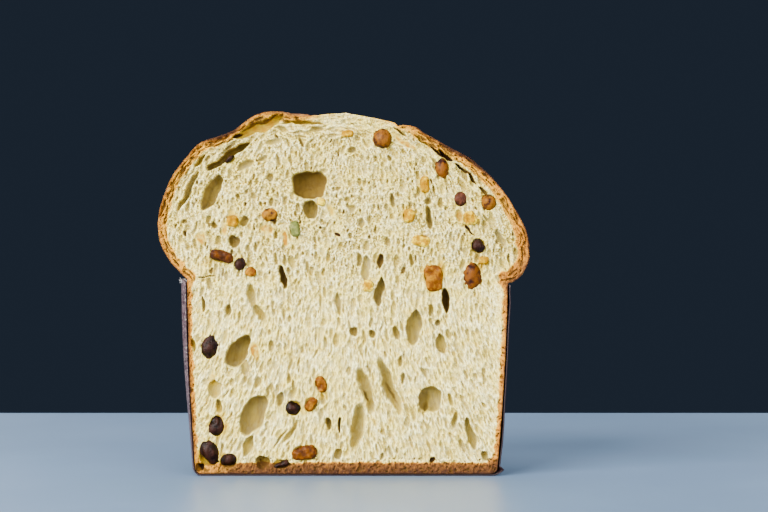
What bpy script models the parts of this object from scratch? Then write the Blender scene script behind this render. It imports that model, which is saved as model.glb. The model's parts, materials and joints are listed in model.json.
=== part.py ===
"""Half of a tall round panettone, cut down the middle, in the paper case it was baked in.

The cut face looks along -Y and the case stands on Z = 0. Lengths are in metres.
"""

import math
from dataclasses import dataclass

import bmesh
import bpy
from mathutils import Vector, noise

MM = 0.001

# The cut plane, and the upright line that the loaf was round about.
CUT_Y = -50.9 * MM
AXIS_X = 1.5 * MM

# The paper case: a 168 mm panettone mould, its wall a little pushed out by the dough.
CASE_PAPER = 0.8 * MM
CASE_GAP = 0.45 * MM
CASE_TOP_LEFT = 107.3 * MM
CASE_TOP_RIGHT = 105.5 * MM
CASE_FLARE_LEFT = 2.0 * MM
CASE_FLARE_RIGHT = 0.5 * MM
CASE_FLARE_REACH = math.radians(24)

# The loaf inside the case. Radii are measured from the axis.
FOOT_Z = CASE_PAPER + CASE_GAP
FOOT_ROUND = 6 * MM
FOOT_RADIUS = 83.4 * MM
NECK_RADIUS_LEFT = 87.7 * MM
NECK_RADIUS_RIGHT = 89.2 * MM
NECK_Z_LEFT = 108.6 * MM
NECK_Z_RIGHT = 106.3 * MM

# The crown's outline on each side of the cut face, from the neck to the top: radius, height in mm.
CROWN_LEFT = [
    (92.8, 113.6), (98.2, 120.2), (102.6, 129.0), (103.8, 137.8), (102.7, 147.8), (97.4, 162.4),
    (89.8, 173.8), (80.6, 183.6), (70.8, 187.1), (62.4, 190.4), (54.2, 196.5), (47.7, 199.8),
    (39.0, 201.0), (31.0, 199.4), (22.4, 198.3), (11.0, 199.4), (0.0, 200.0),
]
CROWN_RIGHT = [
    (92.6, 107.4), (96.8, 111.0), (100.2, 117.4), (100.8, 124.0), (99.5, 134.4), (92.6, 148.2),
    (86.5, 157.0), (78.6, 166.2), (68.8, 174.4), (58.7, 180.2), (50.8, 184.8), (43.6, 188.6),
    (37.2, 192.6), (31.0, 193.4), (28.4, 192.8), (25.6, 195.0), (9.0, 198.4), (0.0, 200.0),
]

# How finely the loaf is turned and the outline is stepped.
TURN_STEPS = 40
SIDE_LEVELS = 5
CORNER_STEPS = 3
CROWN_STEPS = 28

# The scored cross on the crown: two arms cross the half that is left, and pale dough opens there.
CROSS_X = 10 * MM
CROSS_ARMS = (math.radians(48), math.radians(132))
CROSS_HALF_WIDTH = 17 * MM
CROSS_TAPER = 0.16
CROSS_DEPTH = 3.4 * MM
CROSS_LIP = 1.3 * MM
CROSS_REACH = 82 * MM

# Uneven rise of the crown behind the cut.
CROWN_SWELL = 3.0 * MM
CROWN_SWELL_SIZE = 55 * MM
CRAG_RISE = 0.9 * MM
CRAG_SIZE = 13 * MM

FRUIT_GAP = 0.5 * MM


@dataclass(frozen=True)
class Hollow:
    """A gas cell that the knife opened: its middle, half sizes and lean, in mm and degrees."""

    x: float
    z: float
    half_width: float
    half_height: float
    lean: float
    depth: float
    fine: bool = False


@dataclass(frozen=True)
class Fruit:
    """A raisin or candied piece in the cut face: its middle, full sizes, lean and depth."""

    name: str
    slot: str
    x: float
    z: float
    width: float
    height: float
    lean: float
    proud: float


# Lean is the turn to the right of upright, seen from the front.
HOLLOWS = [
    # under the crust of the crown, left then right
    Hollow(-46.0, 192.6, 2.7, 13.5, 68, 13, True),
    Hollow(-22.5, 195.0, 1.1, 11.5, 91, 8),
    Hollow(-64.2, 177.0, 2.5, 13.5, 57, 10, True),
    Hollow(-79.6, 173.4, 1.3, 5.6, 44, 6),
    Hollow(43.0, 184.2, 1.0, 7.0, 128, 8),
    Hollow(57.4, 174.0, 1.2, 10.5, 124, 10),
    Hollow(77.6, 156.8, 1.2, 5.5, 128, 6),
    # in the crown
    Hollow(-19.0, 161.0, 10.6, 6.5, 8, 13, True),
    Hollow(-18.6, 147.6, 4.1, 5.0, 0, 8),
    Hollow(-73.4, 155.2, 4.0, 10.8, 28, 11, True),
    Hollow(-86.6, 156.6, 2.2, 12.0, 29, 8),
    Hollow(-50.8, 172.0, 2.2, 4.8, 62, 4),
    Hollow(-55.2, 140.2, 2.6, 3.0, 0, 5),
    Hollow(-60.8, 131.4, 2.4, 2.6, 0, 5),
    Hollow(5.2, 179.4, 3.1, 2.1, 0, 4),
    Hollow(47.6, 144.0, 1.9, 5.4, -12, 6),
    # in the body
    Hollow(-33.0, 109.6, 1.9, 6.8, -10, 9),
    Hollow(-49.6, 93.4, 2.3, 10.6, -18, 4),
    Hollow(-63.2, 90.6, 2.0, 3.6, 8, 5),
    Hollow(-58.6, 68.2, 5.8, 9.8, 30, 11, True),
    Hollow(-49.4, 33.8, 7.0, 11.2, 24, 8, True),
    Hollow(-71.0, 47.4, 3.2, 6.0, 0, 4),
    Hollow(-51.2, 16.0, 2.7, 6.4, 24, 5),
    Hollow(-44.2, 8.6, 3.9, 3.2, 0, 6),
    Hollow(-34.6, 42.4, 2.2, 4.2, 20, 5),
    Hollow(12.8, 115.2, 2.8, 7.2, 0, 5),
    Hollow(20.2, 101.8, 2.5, 8.0, 4, 7),
    Hollow(21.4, 118.6, 1.7, 4.6, 12, 6),
    Hollow(57.6, 97.8, 2.2, 7.2, 0, 9),
    Hollow(39.2, 81.6, 4.0, 10.2, 6, 6, True),
    Hollow(29.8, 78.0, 1.9, 4.2, -20, 4),
    Hollow(54.4, 72.4, 2.5, 6.0, -6, 6),
    Hollow(48.0, 42.8, 6.2, 8.4, -8, 10, True),
    Hollow(26.8, 45.0, 2.6, 14.4, -22, 9, True),
    Hollow(16.2, 41.0, 2.3, 7.4, -26, 7),
    Hollow(8.2, 26.8, 3.1, 15.0, 2, 6),
    Hollow(-7.6, 29.2, 2.0, 3.0, 0, 6),
    Hollow(71.6, 19.6, 2.6, 11.2, -14, 6),
]

FRUITS = [
    Fruit("raisin_1", "raisin", -74.2, 70.7, 8.0, 12.4, 12, 0.7),
    Fruit("raisin_2", "raisin", -70.3, 27.2, 8.2, 12.0, -8, 0.6),
    Fruit("raisin_3", "raisin", -74.2, 12.9, 8.4, 14.8, -30, 0.8),
    Fruit("raisin_4", "raisin", -63.4, 8.6, 10.0, 7.6, -18, 0.9),
    Fruit("raisin_5", "raisin", -27.7, 37.1, 8.8, 8.2, 30, 0.8),
    Fruit("raisin_6", "raisin", -34.7, 6.3, 4.0, 9.6, 66, 0.5),
    Fruit("raisin_7", "raisin", -62.8, 174.9, 2.9, 6.4, 52, 0.2),
    Fruit("raisin_8", "raisin", -57.4, 116.6, 5.4, 6.4, 18, 0.4),
    Fruit("raisin_9", "raisin", 74.4, 126.7, 7.0, 9.2, -26, 0.6),
    Fruit("raisin_10", "plum_raisin", 64.7, 152.7, 6.4, 8.6, -6, 0.5),
    Fruit("raisin_11", "amber_raisin", 71.2, 110.3, 9.2, 13.4, 4, 0.6),
    Fruit("raisin_12", "amber_raisin", 54.7, 169.9, 6.6, 11.2, -12, 0.4),
    Fruit("raisin_13", "amber_raisin", 21.7, 186.0, 10.0, 10.8, 0, 0.3),
    Fruit("raisin_14", "amber_raisin", 80.3, 151.0, 8.8, 8.8, -20, 0.3),
    Fruit("raisin_15", "amber_raisin", -41.1, 144.2, 7.8, 7.0, 0, 0.2),
    Fruit("orange_peel_1", "orange_peel", -21.4, 12.4, 14.0, 7.4, -12, 0.8),
    Fruit("orange_peel_2", "orange_peel", -12.5, 50.6, 5.4, 9.2, -22, 0.5),
    Fruit("orange_peel_3", "orange_peel", -18.0, 39.4, 5.2, 8.6, 36, 0.5),
    Fruit("orange_peel_4", "orange_peel", -67.4, 121.2, 13.0, 6.2, 18, 0.5),
    Fruit("orange_peel_5", "orange_peel", -51.2, 112.6, 5.4, 5.0, 20, 0.5),
    Fruit("orange_peel_6", "orange_peel", 49.8, 109.0, 9.4, 15.0, -8, 0.7),
    Fruit("citron_1", "citron", -61.4, 140.4, 6.6, 6.0, 4, 0.6),
    Fruit("citron_2", "citron", -12.6, 151.2, 4.4, 4.6, 18, 0.4),
    Fruit("citron_3", "citron", 44.8, 160.8, 5.4, 9.6, -4, 0.3),
    Fruit("citron_4", "citron", 36.2, 143.4, 6.0, 7.2, -10, 0.4),
    Fruit("citron_5", "citron", 42.6, 129.6, 10.4, 6.0, 12, 0.5),
    Fruit("citron_6", "citron", 69.8, 142.2, 6.4, 7.4, -14, 0.5),
    Fruit("citron_7", "citron", 77.4, 118.8, 5.6, 4.4, 0, 0.4),
    Fruit("citron_8", "citron", 13.6, 104.8, 5.6, 6.2, 0, 0.4),
    Fruit("citron_9", "citron", 2.2, 188.8, 6.4, 4.0, 0, 0.2),
    Fruit("green_citron_1", "green_citron", -27.0, 136.2, 5.6, 9.4, -8, 0.2),
]

# Colour, roughness of each finish.
FINISHES = {
    "crumb": ((0.80, 0.62, 0.30), 0.85),
    "paper": ((0.055, 0.022, 0.024), 0.45),
    "raisin": ((0.045, 0.018, 0.012), 0.42),
    "plum_raisin": ((0.15, 0.05, 0.04), 0.42),
    "amber_raisin": ((0.33, 0.11, 0.02), 0.35),
    "orange_peel": ((0.38, 0.11, 0.02), 0.38),
    "citron": ((0.72, 0.40, 0.04), 0.35),
    "green_citron": ((0.30, 0.33, 0.12), 0.40),
}


def clear_scene():
    """Removes the startup scene's objects."""
    for obj in list(bpy.data.objects):
        bpy.data.objects.remove(obj)


def new_collection(name, shown=True):
    """A collection linked to the scene; one that isn't shown holds cutters."""
    made = bpy.data.collections.new(name)
    bpy.context.scene.collection.children.link(made)
    made.hide_render = not shown
    return made


def finish(slot):
    """The material of one finish."""
    found = bpy.data.materials.get(slot)
    if found:
        return found
    colour, roughness = FINISHES[slot]
    made = bpy.data.materials.new(slot)
    made.use_nodes = True
    shader = made.node_tree.nodes["Principled BSDF"]
    shader.inputs["Base Color"].default_value = (*colour, 1.0)
    shader.inputs["Roughness"].default_value = roughness
    shader.inputs["Metallic"].default_value = 0.0
    made.diffuse_color = (*colour, 1.0)
    return made


def place(name, mesh, collection, slot=None):
    """An object made from a mesh, in a collection."""
    obj = bpy.data.objects.new(name, mesh)
    collection.objects.link(obj)
    if slot:
        mesh.materials.append(finish(slot))
    return obj


def ease(value):
    """Smooth step from 0 to 1."""
    value = min(1.0, max(0.0, value))
    return value * value * (3 - 2 * value)


def mix(a, b, share):
    """A point or number between a and b."""
    return a + (b - a) * share


def smooth_curve(points, count):
    """Count points, evenly spaced along a Catmull-Rom curve through the given ones."""
    points = [Vector(p) for p in points]
    ends = [2 * points[0] - points[1], *points, 2 * points[-1] - points[-2]]
    dense = []
    for a, b, c, d in zip(ends, ends[1:], ends[2:], ends[3:]):
        for n in range(12):
            t = n / 12
            dense.append(
                0.5 * (2 * b + (c - a) * t + (2 * a - 5 * b + 4 * c - d) * t * t
                       + (3 * b - a - 3 * c + d) * t ** 3)
            )
    dense.append(points[-1])
    reach = [0.0]
    for a, b in zip(dense, dense[1:]):
        reach.append(reach[-1] + (b - a).length)
    spaced = []
    for n in range(count):
        want = reach[-1] * n / (count - 1)
        i = next((k for k in range(1, len(reach)) if reach[k] >= want - 1e-12), len(reach) - 1)
        share = (want - reach[i - 1]) / max(reach[i] - reach[i - 1], 1e-12)
        spaced.append(mix(dense[i - 1], dense[i], share))
    return spaced


def side_outline(neck_radius, neck_z, crown):
    """One side of the cut face's outline: foot centre, corner, side, neck, crown, top."""
    outline = [Vector((0.0, FOOT_Z)), Vector((FOOT_RADIUS * 0.5, FOOT_Z))]
    corner_x = FOOT_RADIUS - FOOT_ROUND
    for n in range(CORNER_STEPS + 1):
        turn = math.pi / 2 * n / CORNER_STEPS
        outline.append(Vector((corner_x + FOOT_ROUND * math.sin(turn),
                               FOOT_Z + FOOT_ROUND * (1 - math.cos(turn)))))
    corner_z = FOOT_Z + FOOT_ROUND
    for n in range(1, SIDE_LEVELS):
        share = n / SIDE_LEVELS
        bulge = 0.9 * MM * math.sin(math.pi * share)
        outline.append(Vector((mix(FOOT_RADIUS, neck_radius, share) + bulge,
                               mix(corner_z, neck_z, share))))
    neck = (neck_radius, neck_z)
    outline += smooth_curve([neck, *[(r * MM, z * MM) for r, z in crown]], CROWN_STEPS)
    return outline


def turned_surface(name, outline, collection):
    """A half turn of an outline about the axis, from +X round the back to -X.

    Vertex number step * len(outline) + i is outline point i at that step.
    """
    mesh = bpy.data.meshes.new(name)
    downward = list(reversed(outline))
    points = [(p.x, 0.0, p.y) for p in downward]
    mesh.from_pydata(points, [(i, i + 1) for i in range(len(points) - 1)], [])
    obj = place(name, mesh, collection)
    screw = obj.modifiers.new("turn", "SCREW")
    screw.angle = math.pi
    screw.steps = screw.render_steps = TURN_STEPS
    screw.use_merge_vertices = False
    graph = bpy.context.evaluated_depsgraph_get()
    made = bpy.data.meshes.new_from_object(obj.evaluated_get(graph))
    bpy.data.objects.remove(obj)
    return made


def score_cut(x, y):
    """How far the dough of the scored cross lies below the crust, and how much its lip stands up."""
    away = Vector((x - CROSS_X, y - CUT_Y))
    reach = away.length
    fade = 1 - ease((reach - 0.55 * CROSS_REACH) / (0.45 * CROSS_REACH))
    deepest = 0.0
    lip = 0.0
    for arm in CROSS_ARMS:
        along = away.x * math.cos(arm) + away.y * math.sin(arm)
        across = abs(away.y * math.cos(arm) - away.x * math.sin(arm))
        half = max(3 * MM, CROSS_HALF_WIDTH - CROSS_TAPER * max(along, 0.0))
        if along < -half:
            continue
        deepest = max(deepest, 1 - ease((across - 0.55 * half) / (0.45 * half)))
        lip = max(lip, math.exp(-(((across - 1.25 * half) / (0.3 * half)) ** 2)))
    return deepest * fade, lip * fade


def crown_relief(point, rise, back):
    """Upward and outward push on a crown point. Rise runs from 0 at the neck to 1 at the top."""
    swell = noise.noise(point / CROWN_SWELL_SIZE) * CROWN_SWELL
    crag = noise.noise(point / CRAG_SIZE + Vector((7, 3, 1))) * CRAG_RISE
    cut, lip = score_cut(point.x, point.y)
    top = ease((rise - 0.45) / 0.25)
    push = swell * ease(rise / 0.3) + crag * ease(rise / 0.2)
    push += top * (lip * CROSS_LIP - cut * CROSS_DEPTH)
    return push * back


def blended(left, right, index, turn):
    """Outline point at one turn: the right outline at 0, the left at pi, a mean behind."""
    share = (1 - math.cos(turn)) / 2
    return mix(right[index], left[index], share)


def make_loaf(collection):
    """The loaf without its hollows: turned, pushed to both outlines, closed at the cut."""
    left = side_outline(NECK_RADIUS_LEFT, NECK_Z_LEFT, CROWN_LEFT)
    right = side_outline(NECK_RADIUS_RIGHT, NECK_Z_RIGHT, CROWN_RIGHT)
    mean = [mix(a, b, 0.5) for a, b in zip(left, right)]
    mesh = turned_surface("panettone", mean, collection)
    count = len(mean)
    neck = count - CROWN_STEPS
    for number, vertex in enumerate(mesh.vertices):
        step, downward = divmod(number, count)
        index = count - 1 - downward
        turn = math.pi * step / TURN_STEPS
        flat = blended(left, right, index, turn)
        point = Vector((AXIS_X + flat.x * math.cos(turn), CUT_Y + flat.x * math.sin(turn), flat.y))
        if index > neck:
            rise = (index - neck) / (CROWN_STEPS - 1)
            inner = blended(left, right, index - 1, turn)
            outer = blended(left, right, min(index + 1, count - 1), turn)
            along = outer - inner
            out = Vector((along.y, -along.x)).normalized() if along.length else Vector((0, 1))
            back = ease((point.y - CUT_Y) / (16 * MM))
            push = crown_relief(point, rise, back)
            point.x += out.x * push * math.cos(turn)
            point.y += out.x * push * math.sin(turn)
            point.z += out.y * push
        vertex.co = point
    close_at_cut(mesh)
    return place("panettone", mesh, collection, "crumb")


def close_at_cut(mesh):
    """Merges the points on the axis and fills the cut face with one flat face."""
    shape = bmesh.new()
    shape.from_mesh(mesh)
    bmesh.ops.remove_doubles(shape, verts=shape.verts, dist=0.01 * MM)
    rim = [edge for edge in shape.edges if edge.is_boundary]
    for edge in rim:
        for vertex in edge.verts:
            vertex.co.y = CUT_Y
    bmesh.ops.holes_fill(shape, edges=rim, sides=0)
    bmesh.ops.recalc_face_normals(shape, faces=shape.faces)
    shape.to_mesh(mesh)
    shape.free()


def case_outline(neck_radius, top_z):
    """The inside of the paper on one side: from the middle of the foot up to the paper's edge."""
    foot_z = CASE_PAPER
    corner_x = FOOT_RADIUS - FOOT_ROUND
    round_radius = FOOT_ROUND + CASE_GAP
    outline = [Vector((0.0, foot_z)), Vector((FOOT_RADIUS * 0.5, foot_z))]
    for n in range(CORNER_STEPS + 1):
        turn = math.pi / 2 * n / CORNER_STEPS
        outline.append(Vector((corner_x + round_radius * math.sin(turn),
                               foot_z + round_radius * (1 - math.cos(turn)))))
    corner_z = foot_z + round_radius
    for n in range(1, SIDE_LEVELS + 1):
        share = n / SIDE_LEVELS
        bulge = 0.9 * MM * math.sin(math.pi * share)
        outline.append(Vector((mix(FOOT_RADIUS, neck_radius, share) + CASE_GAP + bulge,
                               mix(corner_z, top_z, share))))
    return outline


def case_flare(turn, height):
    """How far the cut ends of the paper spring away from the loaf."""
    rise = ease((height - 4 * MM) / (90 * MM))
    left = ease(1 - (math.pi - turn) / CASE_FLARE_REACH) * CASE_FLARE_LEFT
    right = ease(1 - turn / CASE_FLARE_REACH) * CASE_FLARE_RIGHT
    return (0.25 + 0.75 * rise) * left + right


def make_case(collection):
    """The half that is left of the paper case: foot and wall in one, cut with the loaf."""
    left = case_outline(NECK_RADIUS_LEFT, CASE_TOP_LEFT)
    right = case_outline(NECK_RADIUS_RIGHT, CASE_TOP_RIGHT)
    mean = [mix(a, b, 0.5) for a, b in zip(left, right)]
    mesh = turned_surface("paper_case", mean, collection)
    count = len(mean)
    for number, vertex in enumerate(mesh.vertices):
        step, downward = divmod(number, count)
        index = count - 1 - downward
        turn = math.pi * step / TURN_STEPS
        flat = blended(left, right, index, turn)
        wall = ease((flat.x - 0.9 * FOOT_RADIUS) / (0.1 * FOOT_RADIUS))
        radius = flat.x + wall * case_flare(turn, flat.y)
        vertex.co = (AXIS_X + radius * math.cos(turn), CUT_Y + radius * math.sin(turn), flat.y)
    shape = bmesh.new()
    shape.from_mesh(mesh)
    bmesh.ops.remove_doubles(shape, verts=shape.verts, dist=0.01 * MM)
    shape.to_mesh(mesh)
    shape.free()
    case = place("paper_case", mesh, collection, "paper")
    thick = case.modifiers.new("paper", "SOLIDIFY")
    thick.thickness = CASE_PAPER
    thick.offset = 1.0
    thick.use_even_offset = True
    return case


def set_in_face(obj, piece, y):
    """Places an object at its point of the cut face, leaned to the right."""
    obj.location = (piece.x * MM, y, piece.z * MM)
    obj.rotation_euler = (0.0, math.radians(piece.lean), 0.0)


def make_hollow(number, hollow, collection):
    """The cutter of one gas cell: a slightly uneven ball, stretched to its sizes."""
    mesh = bpy.data.meshes.new(f"hollow_{number}")
    shape = bmesh.new()
    bmesh.ops.create_icosphere(shape, subdivisions=3 if hollow.fine else 2, radius=1.0)
    size = Vector((hollow.half_width, hollow.depth, hollow.half_height)) * MM
    for vertex in shape.verts:
        uneven = 1 + 0.16 * noise.noise(vertex.co * 1.3 + Vector((number, 0, 0)))
        vertex.co = Vector(a * b for a, b in zip(vertex.co * uneven, size))
    shape.to_mesh(mesh)
    shape.free()
    set_in_face(place(mesh.name, mesh, collection), hollow, CUT_Y - 0.1 * MM)


def fruit_shape(number, fruit):
    """A raisin is a creased ball, and a candied piece is a soft-edged block."""
    shape = bmesh.new()
    size = Vector((fruit.width, 0.8 * min(fruit.width, fruit.height) + 1.5, fruit.height)) * MM
    if "raisin" in fruit.slot:
        bmesh.ops.create_icosphere(shape, subdivisions=2, radius=0.5)
        crease = 0.16
    else:
        bmesh.ops.create_cube(shape, size=0.9)
        bmesh.ops.bevel(shape, geom=shape.edges, offset=0.16, segments=1, affect="EDGES")
        bmesh.ops.triangulate(shape, faces=shape.faces)
        crease = 0.12
    for vertex in shape.verts:
        uneven = 1 + crease * noise.noise(vertex.co * 4.5 + Vector((0, 5 * number, 0)))
        vertex.co = Vector(a * b for a, b in zip(vertex.co * uneven, size))
    return shape


def fruit_depth(shape, fruit):
    """Where the middle of a fruit piece lies, for its front to stand a little proud of the cut."""
    return CUT_Y - fruit.proud * MM - min(vertex.co.y for vertex in shape.verts)


def make_fruit(number, fruit, shown, cutters):
    """One raisin or candied piece, and the cutter of its seat, swollen by the gap."""
    shape = fruit_shape(number, fruit)
    depth = fruit_depth(shape, fruit)
    mesh = bpy.data.meshes.new(fruit.name)
    shape.to_mesh(mesh)
    mesh.shade_smooth()
    set_in_face(place(fruit.name, mesh, shown, fruit.slot), fruit, depth)
    shape.normal_update()
    pushes = [(vertex, vertex.normal * FRUIT_GAP) for vertex in shape.verts]
    for vertex, push in pushes:
        vertex.co += push
    seat = bpy.data.meshes.new(f"seat_of_{fruit.name}")
    shape.to_mesh(seat)
    shape.free()
    set_in_face(place(seat.name, seat, cutters), fruit, depth)


def cut_out(obj, cutters):
    """Takes every cutter of a collection out of an object."""
    for cutter in cutters.objects:
        cutter.hide_render = True
        cutter.display_type = "WIRE"
    cut = obj.modifiers.new("hollows", "BOOLEAN")
    cut.operation = "DIFFERENCE"
    cut.operand_type = "COLLECTION"
    cut.collection = cutters
    cut.solver = "EXACT"


def main():
    """Builds the half loaf, its case and its fruit."""
    clear_scene()
    shown = new_collection("half_panettone")
    cutters = new_collection("cutters", shown=False)
    loaf = make_loaf(shown)
    make_case(shown)
    for number, hollow in enumerate(HOLLOWS, 1):
        make_hollow(number, hollow, cutters)
    for number, fruit in enumerate(FRUITS, 1):
        make_fruit(number, fruit, shown, cutters)
    cut_out(loaf, cutters)
    loaf.data.shade_smooth()
    loaf.data.set_sharp_from_angle(angle=math.radians(35))


main()
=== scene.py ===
"""Half a panettone, cut upright through the middle, in its paper case.

The looks of the object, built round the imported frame. Sizes are in millimetres, and meshes in metres.
"""

import json
import logging
import math
from collections.abc import Iterable
from dataclasses import dataclass, field
from enum import Enum, IntEnum

import bpy
import numpy as np
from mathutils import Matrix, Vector, noise

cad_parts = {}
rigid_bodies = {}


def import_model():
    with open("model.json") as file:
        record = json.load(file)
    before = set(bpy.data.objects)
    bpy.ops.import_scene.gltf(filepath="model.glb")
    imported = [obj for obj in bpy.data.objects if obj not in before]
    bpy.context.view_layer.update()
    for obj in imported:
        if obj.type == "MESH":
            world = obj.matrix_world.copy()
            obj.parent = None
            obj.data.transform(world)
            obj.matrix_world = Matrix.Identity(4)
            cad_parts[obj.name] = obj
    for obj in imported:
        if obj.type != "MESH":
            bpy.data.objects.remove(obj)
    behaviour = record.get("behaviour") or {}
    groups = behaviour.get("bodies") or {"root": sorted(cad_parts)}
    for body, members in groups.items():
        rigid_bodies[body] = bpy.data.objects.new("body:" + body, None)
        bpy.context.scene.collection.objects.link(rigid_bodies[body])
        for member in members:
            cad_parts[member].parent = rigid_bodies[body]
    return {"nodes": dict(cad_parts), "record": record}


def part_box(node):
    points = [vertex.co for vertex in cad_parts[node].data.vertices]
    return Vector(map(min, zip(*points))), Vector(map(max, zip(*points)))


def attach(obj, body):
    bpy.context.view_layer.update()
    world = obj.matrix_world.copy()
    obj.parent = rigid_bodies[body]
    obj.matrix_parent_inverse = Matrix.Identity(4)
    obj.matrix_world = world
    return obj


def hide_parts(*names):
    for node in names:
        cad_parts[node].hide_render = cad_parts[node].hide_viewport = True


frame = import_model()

LOG = logging.getLogger("half_panettone")

MM = 0.001
CUT_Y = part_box("panettone")[0].y / MM
AXIS_X = 1.5
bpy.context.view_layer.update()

Colour = tuple[float, float, float, float]


class Side(Enum):
    """The two sides of the cut face, as the viewer sees them."""

    LEFT = -1
    RIGHT = 1


class FruitKind(Enum):
    """What a piece in the crumb is, by the material slot of its node."""

    RAISIN = "raisin"
    PLUM_RAISIN = "plum_raisin"
    AMBER_RAISIN = "amber_raisin"
    ORANGE_PEEL = "orange_peel"
    CITRON = "citron"
    GREEN_CITRON = "green_citron"


class Seed(IntEnum):
    """Seeds of the noises, so that each run gives the same object."""

    ROUGH = 3
    GRIT = 4
    LIE = 6
    SKIN = 8
    BAKE = 9
    FIBRES = 10
    SCORE = 12
    TORN_DOUGH = 15
    WRINKLES = 17
    BLISTERS = 18
    TOAST = 19
    PAPER_WAVES = 30
    PAPER_FOLDS = 31
    PAPER_EDGE = 33
    PAPER_TIP = 34


def srgb(red: float, green: float, blue: float) -> Colour:
    """Turns a colour as a screen shows it, 0 to 255, into the linear one that nodes take.

    Args:
        red: Red, 0 to 255.
        green: Green, 0 to 255.
        blue: Blue, 0 to 255.

    Returns:
        Linear red, green and blue, and an alpha of 1.
    """
    shares = [channel / 255 for channel in (red, green, blue)]
    linear = [s / 12.92 if s <= 0.04045 else ((s + 0.055) / 1.055) ** 2.4 for s in shares]
    return (linear[0], linear[1], linear[2], 1.0)


def ease(value: np.ndarray | float) -> np.ndarray | float:
    """Returns a smooth step of value, from 0 at 0 to 1 at 1."""
    value = np.clip(value, 0.0, 1.0)
    return value * value * (3 - 2 * value)


def mix(low: np.ndarray | float, high: np.ndarray | float, share: np.ndarray | float) -> np.ndarray:
    """Returns the value that lies the given share of the way from low to high."""
    return low + (high - low) * share


def even_points(path: np.ndarray, count: int) -> np.ndarray:
    """Spaces points evenly along a path.

    Args:
        path: Points along the path, one a row.
        count: How many points to return.

    Returns:
        The evenly spaced points, the path's two ends among them.
    """
    steps = np.linalg.norm(np.diff(path, axis=0), axis=1)
    reach = np.concatenate([[0.0], np.cumsum(steps)])
    wanted = np.linspace(0.0, reach[-1], count)
    return np.column_stack([np.interp(wanted, reach, column) for column in path.T])


def rounded_path(points: Iterable[tuple[float, float]], fineness: int = 12) -> np.ndarray:
    """Draws a Catmull-Rom curve through a few points.

    Args:
        points: The points that the curve passes through.
        fineness: Steps from each point to the next.

    Returns:
        The points of the curve.
    """
    given = np.array(list(points), float)
    ends = np.vstack([2 * given[0] - given[1], given, 2 * given[-1] - given[-2]])
    share = np.linspace(0, 1, fineness, endpoint=False)[:, None]
    runs = []
    for a, b, c, d in zip(ends, ends[1:], ends[2:], ends[3:]):
        runs.append(
            0.5 * (2 * b + (c - a) * share + (2 * a - 5 * b + 4 * c - d) * share**2
                   + (3 * b - a - 3 * c + d) * share**3)
        )
    return np.vstack([*runs, given[-1:]])


class LatticeNoise:
    """Smooth noise between -1 and 1 for arrays of points, from random values on a lattice."""

    SIDE = 32

    def __init__(self, seed: int) -> None:
        """Draws the lattice's values.

        Args:
            seed: Seeds the draw, so that each run gives the same noise.
        """
        rng = np.random.default_rng(seed)
        self.values = rng.uniform(-1, 1, (self.SIDE,) * 3)

    def at(self, points: np.ndarray, size: float, octaves: int = 1) -> np.ndarray:
        """Reads the noise.

        Args:
            points: Points, one a row of three numbers.
            size: Length over which the noise changes, in the points' unit.
            octaves: Layers, each half the size and half the strength of the one before.

        Returns:
            One value for each point.
        """
        total = np.zeros(len(points))
        strength = 1.0
        whole = 0.0
        for layer in range(octaves):
            scaled = points / size * 2**layer + 7.3 * layer
            cell = np.floor(scaled).astype(int)
            share = ease(scaled - cell)
            layer_value = np.zeros(len(points))
            for corner in np.ndindex(2, 2, 2):
                weight = np.prod(np.where(corner, share, 1 - share), axis=1)
                index = (cell + corner) % self.SIDE
                layer_value += weight * self.values[index[:, 0], index[:, 1], index[:, 2]]
            total += strength * layer_value
            whole += strength
            strength *= 0.5
        return total / whole


def in_space(x: np.ndarray, z: np.ndarray, y: float = 0.0) -> np.ndarray:
    """Returns points of the cut face as rows of three numbers, for noise."""
    return np.column_stack([x, np.full(len(x), y), z])


def turned(turn: np.ndarray, radius: np.ndarray, height: np.ndarray) -> np.ndarray:
    """Places points about the loaf's axis.

    Args:
        turn: Each point's angle about the axis.
        radius: How far from the axis it lies.
        height: Its height.

    Returns:
        The points, one a row.
    """
    return np.column_stack([AXIS_X + radius * np.cos(turn), CUT_Y + radius * np.sin(turn), height])


def pale_top(x: np.ndarray, z: np.ndarray) -> np.ndarray:
    """Returns where the crown's top tore open and stayed pale, from 0 to 1."""
    return np.exp(-(((x - 6.0) / 27.0) ** 4)) * ease((z - 182.0) / 9.0)


# Where the crust caught in the oven: x, z and reach of each spot
SCORCHED_SPOTS = ((60.0, 178.0, 9.0), (72.0, 169.0, 9.0), (-69.0, 187.0, 6.0), (-61.0, 191.0, 4.0))
SCORCHED_BACK = 24.0
SCORCHED_DARKER = 0.6


def scorched(x: np.ndarray, z: np.ndarray, back: np.ndarray | float = 0.0) -> np.ndarray:
    """Finds where the crust caught in the oven.

    Args:
        x: Points' x.
        z: Points' z.
        back: How far behind the cut they lie.

    Returns:
        How much darker each point is baked.
    """
    dark = np.zeros(len(x))
    for middle_x, middle_z, reach in SCORCHED_SPOTS:
        away = ((x - middle_x) / reach) ** 2 + ((z - middle_z) / reach) ** 2
        dark += SCORCHED_DARKER * np.exp(-away - (back / SCORCHED_BACK) ** 2)
    return dark


# The loaf's outline

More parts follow.
